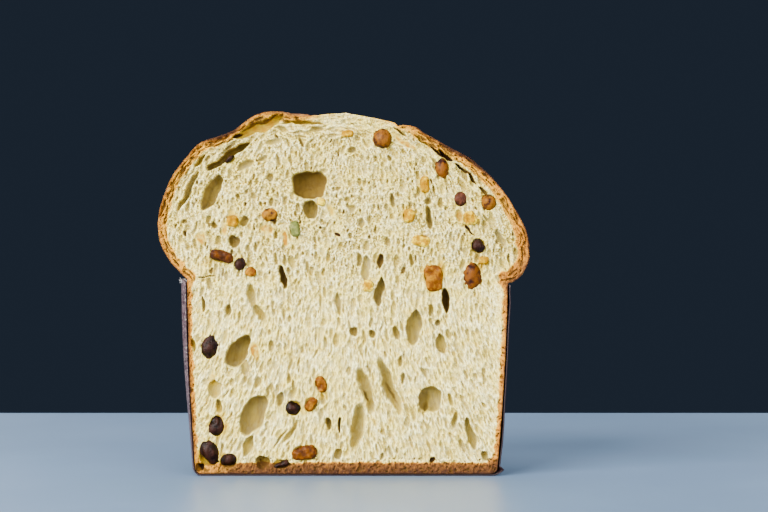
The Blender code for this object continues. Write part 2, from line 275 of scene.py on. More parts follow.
@dataclass(frozen=True)
class HalfOutline:
    """One side of the cut face, as radius from the axis and height. It repeats the solid's outline."""

    neck_radius: float
    neck_z: float
    crown: tuple[tuple[float, float], ...]
    foot_z: float = 1.25
    foot_radius: float = 83.4
    foot_round: float = 3.8
    bulge: float = 0.9

    def foot(self, level: int, bend: int) -> np.ndarray:
        """Returns the foot from the axis: level points on the flat, then bend points up its corner."""
        turn = np.linspace(0, math.pi / 2, bend + 1)[1:]
        start = self.foot_radius - self.foot_round
        corner = np.column_stack([
            start + self.foot_round * np.sin(turn),
            self.foot_z + self.foot_round * (1 - np.cos(turn)),
        ])
        flat = np.column_stack([np.linspace(0, start, level), np.full(level, self.foot_z)])
        return np.vstack([flat, corner])

    def side(self, count: int) -> np.ndarray:
        """Returns the side from the foot's corner to the neck as count points."""
        share = np.linspace(0, 1, count)
        return np.column_stack([
            mix(self.foot_radius, self.neck_radius, share) + self.bulge * np.sin(math.pi * share),
            mix(self.foot_z + self.foot_round, self.neck_z, share),
        ])

    def dome(self, count: int) -> np.ndarray:
        """Returns the crown from the neck to the top as count points."""
        return even_points(rounded_path([(self.neck_radius, self.neck_z), *self.crown]), count)


OUTLINES = {
    Side.LEFT: HalfOutline(87.7, 108.6, (
        (92.8, 113.6), (98.2, 120.2), (102.6, 129.0), (103.8, 137.8), (102.7, 147.8), (97.4, 162.4),
        (89.8, 173.8), (80.6, 183.6), (70.8, 187.1), (62.4, 190.4), (54.2, 196.5), (47.7, 199.8),
        (39.0, 201.0), (31.0, 199.4), (22.4, 198.3), (11.0, 199.4), (0.0, 200.0),
    )),
    Side.RIGHT: HalfOutline(89.2, 106.3, (
        (92.6, 107.4), (96.8, 111.0), (100.2, 117.4), (100.8, 124.0), (99.5, 134.4), (92.6, 148.2),
        (86.5, 157.0), (78.6, 166.2), (68.8, 174.4), (58.7, 180.2), (50.8, 184.8), (43.6, 188.6),
        (37.2, 192.6), (31.0, 193.4), (28.4, 192.8), (25.6, 195.0), (9.0, 198.4), (0.0, 200.0),
    )),
}


@dataclass(frozen=True)
class RimWear:
    """The small unevenness of the crust, the same for the crust and for the edge of the cut face."""

    height: float = 0.32
    size: float = 4.5
    crown_from: float = 104.0
    fade: float = 8.0
    seed: int = 5

    def at(self, points: np.ndarray) -> np.ndarray:
        """Returns how far the crust stands out at each point, in millimetres."""
        rough = LatticeNoise(self.seed).at(points, self.size, octaves=3)
        crown = ease((points[:, 2] - self.crown_from) / self.fade)
        return rough * self.height * (0.35 + 0.65 * crown)


def outward(path: np.ndarray) -> np.ndarray:
    """Returns the unit direction to the right of a path, at each of its points."""
    along = np.gradient(path, axis=0)
    along /= np.linalg.norm(along, axis=1)[:, None]
    return np.column_stack([along[:, 1], -along[:, 0]])


class CutOutline:
    """The whole outline of the cut face: up the left side, over the top and down the right."""

    SHOULDERS = {Side.LEFT: (-93.6, 166.0), Side.RIGHT: (80.6, 165.4)}
    FOOT_POINTS = 80
    BEND_POINTS = 14
    SIDE_POINTS = 140
    DOME_POINTS = 300
    EDGE_POINTS = 900

    def __init__(self, wear: RimWear) -> None:
        """Joins both sides' outlines, with the wear of the crust on them.

        Args:
            wear: The unevenness of the crust.
        """
        halves = {}
        for side, half in OUTLINES.items():
            path = np.vstack([
                half.foot(self.FOOT_POINTS, self.BEND_POINTS),
                half.side(self.SIDE_POINTS)[1:],
                half.dome(self.DOME_POINTS)[1:],
            ])
            place = in_space(AXIS_X + side.value * path[:, 0], path[:, 1])
            worn = path + outward(path) * wear.at(place)[:, None] * ease(path[:, 1:] / wear.fade)
            halves[side] = np.column_stack([AXIS_X + side.value * worn[:, 0], worn[:, 1]])
        left, right = halves[Side.LEFT], halves[Side.RIGHT]
        top = (left[-1] + right[-1]) / 2
        self.loop = np.vstack([left[:-1], [top], right[-2::-1]])
        corners = [self.corner(side, low) for low, side in
                   ((True, Side.LEFT), (False, Side.LEFT), (False, Side.RIGHT), (True, Side.RIGHT))]
        a, b, c, d = corners
        self.left = self.loop[a:b + 1]
        self.top = self.loop[b:c + 1]
        self.right = self.loop[c:d + 1][::-1]
        self.bottom = np.vstack([self.loop[a::-1], self.loop[:d - 1:-1]])

    def corner(self, side: Side, low: bool) -> int:
        """Returns the number of the loop's point nearest to one corner of the face's grid."""
        half = OUTLINES[side]
        bend = half.foot_round * (1 - math.sqrt(0.5))
        foot = (AXIS_X + side.value * (half.foot_radius - bend), half.foot_z + bend)
        wanted = foot if low else self.SHOULDERS[side]
        return int(np.argmin(np.linalg.norm(self.loop - wanted, axis=1)))

    def fill(self, u: np.ndarray, v: np.ndarray) -> tuple[np.ndarray, np.ndarray]:
        """Places points of a square on the cut face, as a Coons patch between the four edges.

        Args:
            u: Share of the way from the left edge to the right one.
            v: Share of the way from the foot to the top.

        Returns:
            The points' x and z.
        """
        ticks = np.linspace(0, 1, self.EDGE_POINTS)
        edges = [even_points(edge, self.EDGE_POINTS)
                 for edge in (self.left, self.right, self.bottom, self.top)]
        result = []
        for axis in range(2):
            left, right, bottom, top = (edge[:, axis] for edge in edges)
            across = mix(np.interp(v, ticks, left), np.interp(v, ticks, right), u)
            upward = mix(np.interp(u, ticks, bottom), np.interp(u, ticks, top), v)
            corners = mix(mix(left[0], right[0], u), mix(left[-1], right[-1], u), v)
            result.append(across + upward - corners)
        return result[0], result[1]


class FaceMap:
    """Distance to the outline, and the outline's direction, anywhere on the cut face."""

    STEP = 1.0
    LOW = (-108.0, -3.0)
    HIGH = (108.0, 207.0)
    PATH_POINTS = 500
    BLOCK = 4000

    def __init__(self, outline: CutOutline) -> None:
        """Measures the face on a coarse raster.

        Args:
            outline: The outline of the cut face.
        """
        xs = np.arange(self.LOW[0], self.HIGH[0] + self.STEP, self.STEP)
        zs = np.arange(self.LOW[1], self.HIGH[1] + self.STEP, self.STEP)
        self.shape = (len(zs), len(xs))
        grid_x, grid_z = (g.ravel() for g in np.meshgrid(xs, zs))
        path = even_points(outline.loop, self.PATH_POINTS)
        nearest = np.zeros(len(grid_x), int)
        away = np.zeros(len(grid_x))
        for start in range(0, len(grid_x), self.BLOCK):
            part = slice(start, start + self.BLOCK)
            gap = np.hypot(grid_x[part, None] - path[:, 0], grid_z[part, None] - path[:, 1])
            nearest[part] = gap.argmin(axis=1)
            away[part] = gap.min(axis=1)
        along = np.gradient(path, axis=0)
        lean = np.arctan2(along[:, 0], along[:, 1])[nearest]
        inside = self.within(grid_x, grid_z, path)
        self.distance = np.where(inside, away, -away).reshape(self.shape)
        self.twice_sin = np.sin(2 * lean).reshape(self.shape)
        self.twice_cos = np.cos(2 * lean).reshape(self.shape)

    @staticmethod
    def within(x: np.ndarray, z: np.ndarray, path: np.ndarray) -> np.ndarray:
        """Returns whether each point lies inside a closed path, by counting crossings."""
        crossings = np.zeros(len(x), int)
        for (ax, az), (bx, bz) in zip(path, np.roll(path, -1, axis=0)):
            spans = (az > z) != (bz > z)
            with np.errstate(divide="ignore", invalid="ignore"):
                meets = ax + (z - az) / (bz - az) * (bx - ax)
            crossings += spans & (x < meets)
        return crossings % 2 == 1

    def read(self, values: np.ndarray, x: np.ndarray, z: np.ndarray) -> np.ndarray:
        """Returns a raster's values between its points."""
        return bilinear(values, (x - self.LOW[0]) / self.STEP, (z - self.LOW[1]) / self.STEP)

    def depth_inside(self, x: np.ndarray, z: np.ndarray) -> np.ndarray:
        """Returns how far inside the outline each point lies."""
        return self.read(self.distance, x, z)

    def rim_lean(self, x: np.ndarray, z: np.ndarray) -> tuple[np.ndarray, np.ndarray]:
        """Returns the sine and cosine of twice the lean of the nearest stretch of outline."""
        return self.read(self.twice_sin, x, z), self.read(self.twice_cos, x, z)


def bilinear(values: np.ndarray, column: np.ndarray, row: np.ndarray) -> np.ndarray:
    """Reads a raster between its points.

    Args:
        values: The raster, row by row.
        column: Columns, with fractions.
        row: Rows, with fractions.

    Returns:
        One value for each pair of column and row.
    """
    column = np.clip(column, 0, values.shape[1] - 1.001)
    row = np.clip(row, 0, values.shape[0] - 1.001)
    c, r = column.astype(int), row.astype(int)
    cs, rs = column - c, row - r
    low = mix(values[r, c], values[r, c + 1], cs)
    high = mix(values[r + 1, c], values[r + 1, c + 1], cs)
    return mix(low, high, rs)


# The crumb's relief

@dataclass(frozen=True)
class Hollow:
    """A gas cell opened by the knife: place, half sizes, lean to the right in degrees, and depth.

    Its shade runs from 0, pale, to 1, dark brown: painted shade inside the cell, and the darkness of
    stains and bits of peel. Its amber runs from 0 to 1: painted glow where light shines through crust,
    and the syrup's stain round fruit.
    """

    x: float
    z: float
    half_width: float
    half_height: float
    lean: float
    depth: float
    tone: float = 0.5
    amber: float = 0.0
    soft: bool = False
    boxy: float = 2.0


HOLLOWS = (
    # Under the crown's crust, left and then right
    Hollow(-46.0, 192.4, 2.9, 14.5, 66, 7.0, 0.22, 0.85),
    Hollow(-45.6, 195.0, 0.8, 12.0, 66, 6.0, 0.85, 0.9),
    Hollow(-22.5, 195.2, 0.9, 12.0, 91, 5.0, 0.55, 0.7),
    Hollow(-64.2, 177.0, 2.5, 14.0, 57, 9.0, 0.75, 0.3),
    Hollow(-79.6, 173.4, 1.3, 6.0, 44, 5.0, 0.6, 0.7),
    Hollow(-58.8, 187.6, 1.2, 3.0, 60, 4.0, 1.0, 0.6),
    Hollow(31.5, 189.6, 0.8, 5.0, 116, 4.0, 0.7, 0.2),
    Hollow(43.6, 184.0, 0.55, 6.6, 126, 3.5, 0.65, 0.4),
    Hollow(51.6, 178.8, 0.8, 4.4, 122, 5.0, 0.95, 0.1),
    Hollow(57.4, 175.4, 1.2, 5.2, 124, 7.0, 1.0, 0.1),
    Hollow(64.2, 170.2, 1.0, 4.8, 132, 6.0, 0.9, 0.2),
    Hollow(70.8, 164.2, 0.9, 4.6, 138, 5.0, 0.9, 0.2),
    Hollow(77.6, 156.8, 1.0, 5.0, 140, 4.0, 0.8, 0.3),
    Hollow(-76.6, 109.6, 0.5, 5.4, 84, 3.0, 0.9, 0.1),
    # In the crown
    Hollow(-19.4, 161.2, 10.4, 7.0, 6, 12.0, 0.78, 0.3, boxy=2.8),
    Hollow(-18.6, 147.6, 4.2, 5.2, 0, 8.0, 0.6),
    Hollow(-73.4, 155.2, 4.0, 11.0, 28, 9.0, 0.62, 0.1),
    Hollow(-86.6, 156.6, 2.0, 12.4, 29, 6.0, 0.5, 0.1),
    Hollow(-53.4, 172.2, 2.2, 5.6, 64, 4.0, 0.4),
    Hollow(-44.6, 175.0, 1.2, 2.4, 60, 3.0, 0.5),
    Hollow(-38.4, 184.2, 1.6, 4.4, 84, 3.0, 0.35),
    Hollow(-40.4, 164.6, 2.6, 2.9, 0, 4.0, 0.35),
    Hollow(-88.0, 140.4, 1.6, 1.6, 0, 3.0, 0.6),
    Hollow(-71.6, 138.2, 2.0, 2.4, 0, 4.5, 0.6, 0.2),
    Hollow(-55.4, 139.8, 2.6, 2.7, 0, 4.5, 0.6),
    Hollow(-61.0, 129.6, 2.7, 3.4, 0, 5.5, 0.7),
    Hollow(-53.0, 125.4, 1.6, 2.2, 0, 3.0, 0.4),
    Hollow(4.6, 179.6, 3.3, 2.2, 0, 4.0, 0.5),
    Hollow(-11.0, 168.6, 2.2, 1.5, 0, 2.5, 0.3),
    Hollow(2.0, 152.6, 2.0, 1.7, 0, 3.0, 0.4),
    Hollow(4.6, 147.4, 2.6, 2.4, 0, 3.0, 0.35),
    Hollow(26.8, 152.4, 1.7, 3.6, 0, 4.0, 0.5),
    Hollow(46.4, 151.4, 2.0, 2.6, 0, 4.0, 0.45),
    Hollow(47.0, 142.6, 2.1, 6.2, -6, 6.0, 0.55),
    Hollow(9.8, 139.0, 1.4, 3.0, 0, 3.0, 0.5),
    Hollow(79.4, 141.2, 0.9, 4.4, -44, 3.0, 0.4),
    Hollow(86.2, 131.2, 1.6, 6.2, -24, 4.0, 0.4),
    Hollow(91.0, 119.6, 1.0, 3.4, -6, 3.0, 0.5),
    # In the body
    Hollow(-33.4, 109.8, 1.8, 7.0, -10, 8.0, 0.8),
    Hollow(-50.2, 98.6, 2.6, 7.4, -12, 4.4, 0.45, 0.0, True),
    Hollow(-46.6, 90.4, 2.4, 7.6, -36, 4.8, 0.5, 0.0, True),
    Hollow(-74.2, 106.2, 1.8, 4.0, -12, 3.0, 0.4),
    Hollow(-64.6, 110.4, 1.4, 2.2, 0, 2.5, 0.4),
    Hollow(-63.8, 91.6, 1.9, 3.2, 8, 4.5, 0.5),
    Hollow(-77.2, 94.8, 1.0, 3.8, 0, 3.5, 0.6),
    Hollow(-58.6, 68.2, 5.6, 9.9, 30, 10.0, 0.6, 0.05),
    Hollow(-54.2, 60.2, 2.6, 4.0, 16, 4.0, 0.1),
    Hollow(-83.0, 72.6, 1.2, 4.6, 0, 3.0, 0.6, 0.5),
    Hollow(-49.8, 33.6, 7.0, 11.7, 24, 8.0, 0.58),
    Hollow(-71.8, 48.2, 3.4, 5.8, 0, 4.0, 0.35, 0.35),
    Hollow(-69.4, 38.6, 1.6, 3.6, 0, 4.0, 0.5),
    Hollow(-52.4, 17.0, 3.0, 6.0, 26, 5.0, 0.4),
    Hollow(-44.8, 8.0, 4.4, 3.6, 10, 6.0, 0.65, 0.3),
    Hollow(-35.2, 42.2, 2.2, 4.2, 14, 4.5, 0.4),
    Hollow(-28.0, 45.6, 2.0, 4.4, 20, 3.0, 0.2),
    Hollow(-29.4, 23.0, 1.6, 9.0, 34, 3.6, 0.4, 0.0, True),
    Hollow(-35.6, 20.4, 0.8, 6.4, 32, 3.0, 0.3),
    Hollow(9.0, 119.0, 1.6, 4.0, 0, 4.0, 0.45),
    Hollow(12.4, 114.6, 2.6, 7.2, 0, 3.5, 0.35),
    Hollow(20.4, 119.2, 1.9, 4.6, 8, 5.5, 0.8),
    Hollow(19.8, 101.8, 2.7, 7.8, 4, 6.5, 0.6),
    Hollow(37.8, 118.4, 1.7, 4.0, -4, 4.0, 0.4),
    Hollow(56.8, 97.4, 2.2, 6.7, 0, 9.0, 0.85),
    Hollow(39.0, 82.0, 4.0, 10.2, 6, 6.5, 0.5),
    Hollow(29.2, 78.4, 2.0, 4.0, -18, 4.0, 0.5),
    Hollow(48.4, 91.0, 1.8, 3.6, 4, 4.0, 0.45),
    Hollow(52.0, 84.4, 1.5, 2.2, 0, 3.5, 0.55),
    Hollow(53.4, 72.4, 3.0, 5.6, -20, 5.0, 0.4),
    Hollow(5.6, 79.4, 2.5, 2.8, 0, 4.5, 0.6),
    Hollow(16.0, 78.4, 1.8, 2.8, -16, 4.0, 0.6),
    Hollow(-3.0, 94.6, 1.6, 6.6, -4, 3.5, 0.45),
    Hollow(49.0, 42.0, 6.4, 7.8, 6, 8.5, 0.4),
    Hollow(45.0, 41.0, 3.4, 5.6, 8, 9.4, 0.55, 0.05),
    Hollow(45.4, 37.6, 1.9, 2.9, 6, 10.4, 0.72, 0.3),
    Hollow(31.6, 63.0, 1.5, 3.2, 0, 3.5, 0.5),
    Hollow(32.8, 53.6, 1.4, 3.4, 4, 3.5, 0.45),
    Hollow(24.6, 50.0, 3.6, 19.0, -20, 7.0, 0.46, 0.0, True),
    Hollow(26.4, 45.2, 0.9, 8.0, -24, 8.4, 0.72, 0.1),
    Hollow(12.0, 44.0, 0.8, 4.0, -20, 7.6, 0.66),
    Hollow(13.6, 45.6, 3.4, 15.0, -19, 6.5, 0.46, 0.0, True),
    Hollow(7.2, 25.4, 4.2, 16.0, 10, 7.0, 0.48, 0.0, True),
    Hollow(-8.4, 29.0, 2.2, 3.8, -12, 5.5, 0.6),
    Hollow(-2.6, 28.4, 0.9, 4.6, 0, 5.0, 0.75),
    Hollow(61.2, 30.4, 1.6, 5.0, 0, 4.0, 0.35),
    Hollow(59.0, 42.0, 1.3, 4.2, -12, 3.5, 0.35),
    Hollow(70.6, 22.4, 2.6, 9.6, -14, 5.5, 0.4),
    Hollow(77.8, 11.0, 2.0, 3.6, -18, 4.0, 0.5),
    Hollow(49.0, 8.4, 1.8, 1.5, 0, 3.0, 0.95),
    Hollow(21.4, 10.8, 1.4, 1.7, 0, 2.5, 0.6),
    Hollow(-3.0, 12.0, 2.6, 3.0, 8, 4.0, 0.55),
    Hollow(-79.2, 4.4, 2.4, 2.8, 0, 5.0, 1.0),
    # Stains and small bits of peel
    Hollow(34.9, 182.9, 1.6, 8.5, 120, 1.0, 0.2, 1.0),
    Hollow(-79.2, 131.6, 2.9, 3.6, -40, 0.8, 0.25, 1.0),
    Hollow(-48.9, 69.0, 2.4, 4.8, -20, 0.8, 0.15, 1.0),
    Hollow(-72.3, 53.0, 2.4, 5.0, 0, 0.6, 0.1, 0.8),
    Hollow(-3.3, 133.1, 1.2, 2.2, -60, 1.2, 1.0, 0.5),
    Hollow(-32.4, 131.7, 1.5, 5.0, -12, 1.0, 0.3, 1.0),
    Hollow(-42.4, 136.0, 4.2, 2.8, 0, 0.5, 0.0, 0.9),
    Hollow(-6.9, 146.6, 1.8, 3.8, -20, 1.0, 0.2, 0.8),
    Hollow(-66.0, 136.6, 4.8, 2.2, 80, 0.8, 0.1, 0.9),
    Hollow(63.8, 143.4, 2.2, 3.8, -20, 2.0, 0.45, 0.9),
    Hollow(69.6, 135.3, 0.6, 4.6, 137, 2.6, 1.0, 0.1),
)


class Relief:
    """The crumb's surface on a fine raster: depth behind the cut, and what tints it: painted shade,
    stains and painted glow.
    """

    STEP = 0.25
    LOW = (-106.0, -1.0)
    HIGH = (106.0, 204.0)

    def __init__(self) -> None:
        """Makes the flat, untinted rasters."""
        self.xs = np.arange(self.LOW[0], self.HIGH[0] + self.STEP, self.STEP)
        self.zs = np.arange(self.LOW[1], self.HIGH[1] + self.STEP, self.STEP)
        shape = (len(self.zs), len(self.xs))
        self.depth = np.zeros(shape)
        self.tone = np.zeros(shape)
        self.amber = np.zeros(shape)
        self.bare = np.zeros(shape)
        self.rng = np.random.default_rng(41)
        grid_x, grid_z = np.meshgrid(self.xs, self.zs)
        points = in_space(grid_x.ravel(), grid_z.ravel())
        self.warp_x, self.warp_z = (
            (1.0 * LatticeNoise(seed).at(points, 7.0) + 0.5 * LatticeNoise(seed + 1).at(points, 2.4))
            .reshape(shape) for seed in (51, 53)
        )

    def index(self, x: float, z: float) -> tuple[int, int]:
        """Returns the raster's row and column at a point."""
        return int((z - self.LOW[1]) / self.STEP), int((x - self.LOW[0]) / self.STEP)

    def stamp(self, cell: Hollow, ragged: float, wall: float, bare: float = 0.0,
              warp: float = 1.0) -> None:
        """Presses one gas cell into the raster.

        Args:
            cell: The cell.
            ragged: How uneven its edge is, as a share of its size.
            wall: Power of its profile: high for a steep wall and a flat floor.
            bare: How smooth it is inside, from 0 to 1.
            warp: How far the crumb's own unevenness bends it.
        """
        reach = 1.35 * max(cell.half_width, cell.half_height) + 0.6
        columns = slice(*np.searchsorted(self.xs, (cell.x - reach, cell.x + reach)))
        rows = slice(*np.searchsorted(self.zs, (cell.z - reach, cell.z + reach)))
        row, column = self.index(cell.x, cell.z)
        warp_x = self.warp_x[rows, columns] - self.warp_x[row, column]
        warp_z = self.warp_z[rows, columns] - self.warp_z[row, column]
        dx = self.xs[columns][None, :] - cell.x + warp * warp_x
        dz = self.zs[rows][:, None] - cell.z + warp * warp_z
        lean = math.radians(cell.lean)
        across = np.abs(dx * math.cos(lean) - dz * math.sin(lean)) / cell.half_width
        along = (dx * math.sin(lean) + dz * math.cos(lean)) / cell.half_height
        spread = (across**cell.boxy + np.abs(along) ** cell.boxy) ** (1 / cell.boxy)
        if ragged:
            angle = np.arctan2(along, across)
            phase = self.rng.uniform(0, 2 * math.pi, 3)
            wave = (np.sin(2 * angle + phase[0]) + np.sin(3 * angle + phase[1])
                    + 0.6 * np.sin(5 * angle + phase[2]))
            spread = spread / (1 + ragged * wave / 2.6)
        inside = np.clip(1 - spread**wall, 0, 1)
        profile = ease(inside) if cell.soft else np.sqrt(inside)
        held = ease(inside) if cell.soft else ease(3 * inside)
        for raster, value in ((self.depth, cell.depth * profile), (self.tone, cell.tone * held),
                              (self.amber, cell.amber * ease(1.6 * (1.25 - spread))),
                              (self.bare, bare * held)):
            np.maximum(raster[rows, columns], value, out=raster[rows, columns])

    def taken(self, x: float, z: float) -> float:
        """Returns the depth already pressed in at a point."""
        return float(self.depth[self.index(x, z)])

    def read(self, values: np.ndarray, x: np.ndarray, z: np.ndarray) -> np.ndarray:
        """Returns a raster's values between its points."""
        return bilinear(values, (x - self.LOW[0]) / self.STEP, (z - self.LOW[1]) / self.STEP)


@dataclass(frozen=True)
class PoreSize:
    """One size of pore: half width, its spread, longest stretch, depth for its width and number.

    Its shade is how dark shade is painted inside it, and lowest the height above which it is found.
    """

    half_width: float
    spread: float
    stretch: float
    depth: float
    number: int
    tone: float
    lowest: float = 2.5


@dataclass
class Sponge:
    """Fills the crumb's relief: the hollows of the photograph, the fruit's seats and the pores."""

    face: FaceMap
    relief: Relief = field(default_factory=Relief)
    sizes: tuple[PoreSize, ...] = (
        PoreSize(1.15, 0.24, 3.0, 1.3, 560, 0.36),
        PoreSize(1.05, 0.26, 3.6, 1.3, 170, 0.36, 112.0),
        PoreSize(0.80, 0.20, 4.0, 1.7, 1600, 0.36),
        PoreSize(0.72, 0.22, 3.4, 1.9, 1100, 0.55, 112.0),
        PoreSize(0.64, 0.20, 4.8, 1.8, 3000, 0.3),
        PoreSize(0.46, 0.15, 4.2, 2.0, 8500, 0.3),
    )
    dome_crust: float = 5.2
    pale_crust: float = 1.2
    side_crust: float = 2.5
    foot_crust: float = 6.4
    fan: float = 0.34
    large_from: float = 2.4
    seat: float = 1.04
    halo: float = 1.3
    slits: int = 240
    pits: int = 640
    seed: int = 23

    def grain(self, x: np.ndarray, z: np.ndarray) -> tuple[np.ndarray, np.ndarray]:
        """Finds how the pores lie: upright and fanned below, along the crust in the crown.

        Args:
            x: Points' x.
            z: Points' z.

        Returns:
            Lean to the right in radians, and how stretched pores are, from 0 to 1.
        """
        fan = np.radians(-self.fan * x) * ease((118 - z) / 60)
        rim_sin, rim_cos = self.face.rim_lean(x, z)
        inside = self.face.depth_inside(x, z)
        crown = ease((z - 112) / 34)
        rim = crown * np.exp(-np.clip(inside, 0, None) / 20)
        lean = np.arctan2(mix(np.sin(2 * fan), rim_sin, rim), mix(np.cos(2 * fan), rim_cos, rim)) / 2
        body = 1 - ease((z - 96) / 46)
        return lean, np.clip(0.4 + 0.6 * body + 0.8 * rim, 0, 1)

    def press_hollows(self) -> None:
        """Presses the hollows of the photograph into the relief."""
        for cell in HOLLOWS:
            large = min(cell.half_width, cell.half_height) > self.large_from
            wall = 2.4 if cell.soft else 5.0 if large else 2.6
            self.relief.stamp(cell, 0.10 if large else 0.05, wall, bare=0.3 if cell.soft else 1.0)

    def press_seats(self, pieces: Iterable[str]) -> None:
        """Presses a seat for each piece of fruit, a little wider than the piece, with shade painted in
        the gap round it and a stain round that.

        Args:
            pieces: Names of the fruit's nodes.
        """
        for name in pieces:
            low, high = (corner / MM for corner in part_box(name))
            half = (high - low) / 2 * self.seat
            middle = (low + high) / 2
            seat = Hollow(middle.x, middle.z, half.x, half.z, 0, 0.5 * (high.y - low.y),
                          0.45, 0.2 if "citron" in name else 0.8)
            self.relief.stamp(seat, 0.05, 3.0, bare=0.6, warp=0.5)
            halo = Hollow(middle.x, middle.z, half.x * self.halo, half.z * self.halo, 0, 0.0, 0.0,
                          STAINS.get(name, USUAL_STAIN))
            self.relief.stamp(halo, 0.2, 3.0, warp=2.0)

    def press_pits(self) -> None:
        """Presses small pits into the browned foot and sides, with shade painted dark inside them."""
        rng = np.random.default_rng(self.seed + 2)
        tried = rng.uniform((-88, 1.6), (92, 104), (42000, 2))
        inside = self.face.depth_inside(tried[:, 0], tried[:, 1])
        in_foot = (tried[:, 1] < 9.6) & (inside > 0.7)
        chosen = tried[in_foot | ((inside > 0.7) & (inside < 2.6))][:self.pits]
        for x, z in chosen:
            w = rng.uniform(0.28, 0.7)
            self.relief.stamp(
                Hollow(x, z, w, w * rng.uniform(0.8, 1.7), rng.normal(70, 30), 1.6 * w + 0.3,
                       rng.uniform(0.4, 1.0)),
                0.12, 2.2,
            )

    def press_slits(self) -> None:
        """Presses small slits into the crown's crust, along its edge, with shade painted inside them."""
        rng = np.random.default_rng(self.seed + 1)
        tried = rng.uniform((-104, 108), (104, 198), (9000, 2))
        inside = self.face.depth_inside(tried[:, 0], tried[:, 1])
        pale = pale_top(tried[:, 0], tried[:, 1])
        chosen = tried[(inside > 1.1) & (inside < 4.4) & (pale < 0.4)][:self.slits]
        lean = np.degrees(np.arctan2(*self.face.rim_lean(chosen[:, 0], chosen[:, 1])) / 2)
        for (x, z), turn in zip(chosen, lean):
            self.relief.stamp(
                Hollow(x, z, rng.uniform(0.35, 0.62), rng.uniform(0.8, 3.4), turn, 1.9,
                       rng.uniform(0.2, 0.9)),
                0.1, 2.4,
            )

    def press_pores(self) -> None:
        """Presses the pores, large ones first, each where the crumb is still whole, with shade painted
        inside them.
        """
        rng = np.random.default_rng(self.seed)
        for size in self.sizes:
            tried = rng.uniform((-103, size.lowest), (103, 200), (size.number * 3, 2))
            inside = self.face.depth_inside(tried[:, 0], tried[:, 1])
            tried, inside = tried[inside > 1.2], inside[inside > 1.2]
            lean, stretched = self.grain(tried[:, 0], tried[:, 1])
            width = size.half_width * np.exp(rng.normal(0, size.spread, len(tried)))
            width *= mix(0.5, 1.0, ease((inside - 1) / 9))
            stretch = 1 + (size.stretch - 1) * stretched * rng.uniform(0.3, 1.0, len(tried))
            lean = np.degrees(lean) + rng.normal(0, 7, len(tried))
            chance = rng.uniform(0, 1, len(tried))
            made = 0
            for (x, z), w, s, turn, wild in zip(tried, width, stretch, lean, chance):
                if made >= size.number:
                    break
                around = ((0, 0), (w, 0), (-w, 0), (0, w), (0, -w))
                if max(self.relief.taken(x + dx, z + dz) for dx, dz in around) > 0.35 * w + 0.25:
                    continue
                depth = w * size.depth * (0.6 + 0.8 * wild) * mix(0.86, 1.05, ease((z - 100) / 25))
                self.relief.stamp(
                    Hollow(x, z, w, w * s, turn, depth, size.tone * (0.5 + wild)),
                    0.14, 2.2, warp=0.6,
                )
                made += 1

    def crust_depth(self, x: np.ndarray, z: np.ndarray) -> np.ndarray:
        """Finds how deep the browned crust reaches in from the outline.

        Args:
            x: Points' x.
            z: Points' z.

        Returns:
            The crust's depth at each point.
        """
        crown = ease((z - 103) / 8)
        flap = np.exp(-(((x + 52) / 14) ** 2)) * ease((z - 170) / 15)
        lip = ease(x / 60) * ease((160 - z) / 20)
        dome = mix(self.dome_crust, self.pale_crust, pale_top(x, z)) - 1.2 * flap + 1.6 * lip
        side = mix(self.side_crust, dome, crown)
        return mix(side, self.foot_crust, ease((12 - z) / 6))

    def bake(self, x: np.ndarray, z: np.ndarray) -> np.ndarray:
        """Finds how browned the cut is.

        Args:
            x: Points' x.
            z: Points' z.

        Returns:
            One number for each point, from 0 in the crumb to 1 at the outside.
        """
        wobble = LatticeNoise(Seed.BAKE).at(in_space(x, z), 3.2, octaves=2)
        inside = self.face.depth_inside(x, z)
        reach = self.crust_depth(x, z) + 1.1 * wobble
        corner = 0.8 * np.exp(-(((x + 80) / 17) ** 2))
        foot = 0.46 * ease((12 - z) / 6) * (1 - corner)
        right = ease(x / 60) * ease((z - 100) / 5)
        lip = right * (0.14 * ease((150 - z) / 20) + 0.14 * ease((124 - z) / 12))
        sides = 0.14 * ease((106 - z) / 4) * ease((z - 8) / 6)
        pale = pale_top(x, z)
        band = (0.30 - 0.2 * pale + foot + lip + sides) * ease((reach - inside) / 1.3 + 0.5)
        faint = 0.15 * ease(1 - (inside - reach) / 6.0) * (0.75 + 0.5 * wobble)
        band = np.maximum(band, faint)
        rim = 0.22 * (1 - inside / reach).clip(0) + (0.26 + 0.16 * right) * ease(1 - inside / 1.1)
        rim *= 1 - 0.9 * pale
        caught = 1.2 * scorched(x, z) * ease(1 - inside / 2.6)
        return np.clip(band + rim + caught, 0, 1)

    @staticmethod
    def drawn(x: np.ndarray, z: np.ndarray) -> np.ndarray:
        """Finds coordinates in which the crumb's upright fibres are as wide as they are long.

        Args:
            x: Points' x.
            z: Points' z.

        Returns:
            Points to read noise at, one a row.
        """
        levels = np.linspace(-5, 210, 200)
        rate = mix(1.0, 0.36, ease((126 - levels) / 50))
        height = np.concatenate([[0.0], np.cumsum((rate[1:] + rate[:-1]) / 2 * np.diff(levels))])
        fanned = x * (1 + 0.0035 * np.minimum(z, 118)) / 1.2
        return np.column_stack([fanned, np.interp(z, levels, height), np.zeros(len(x))])

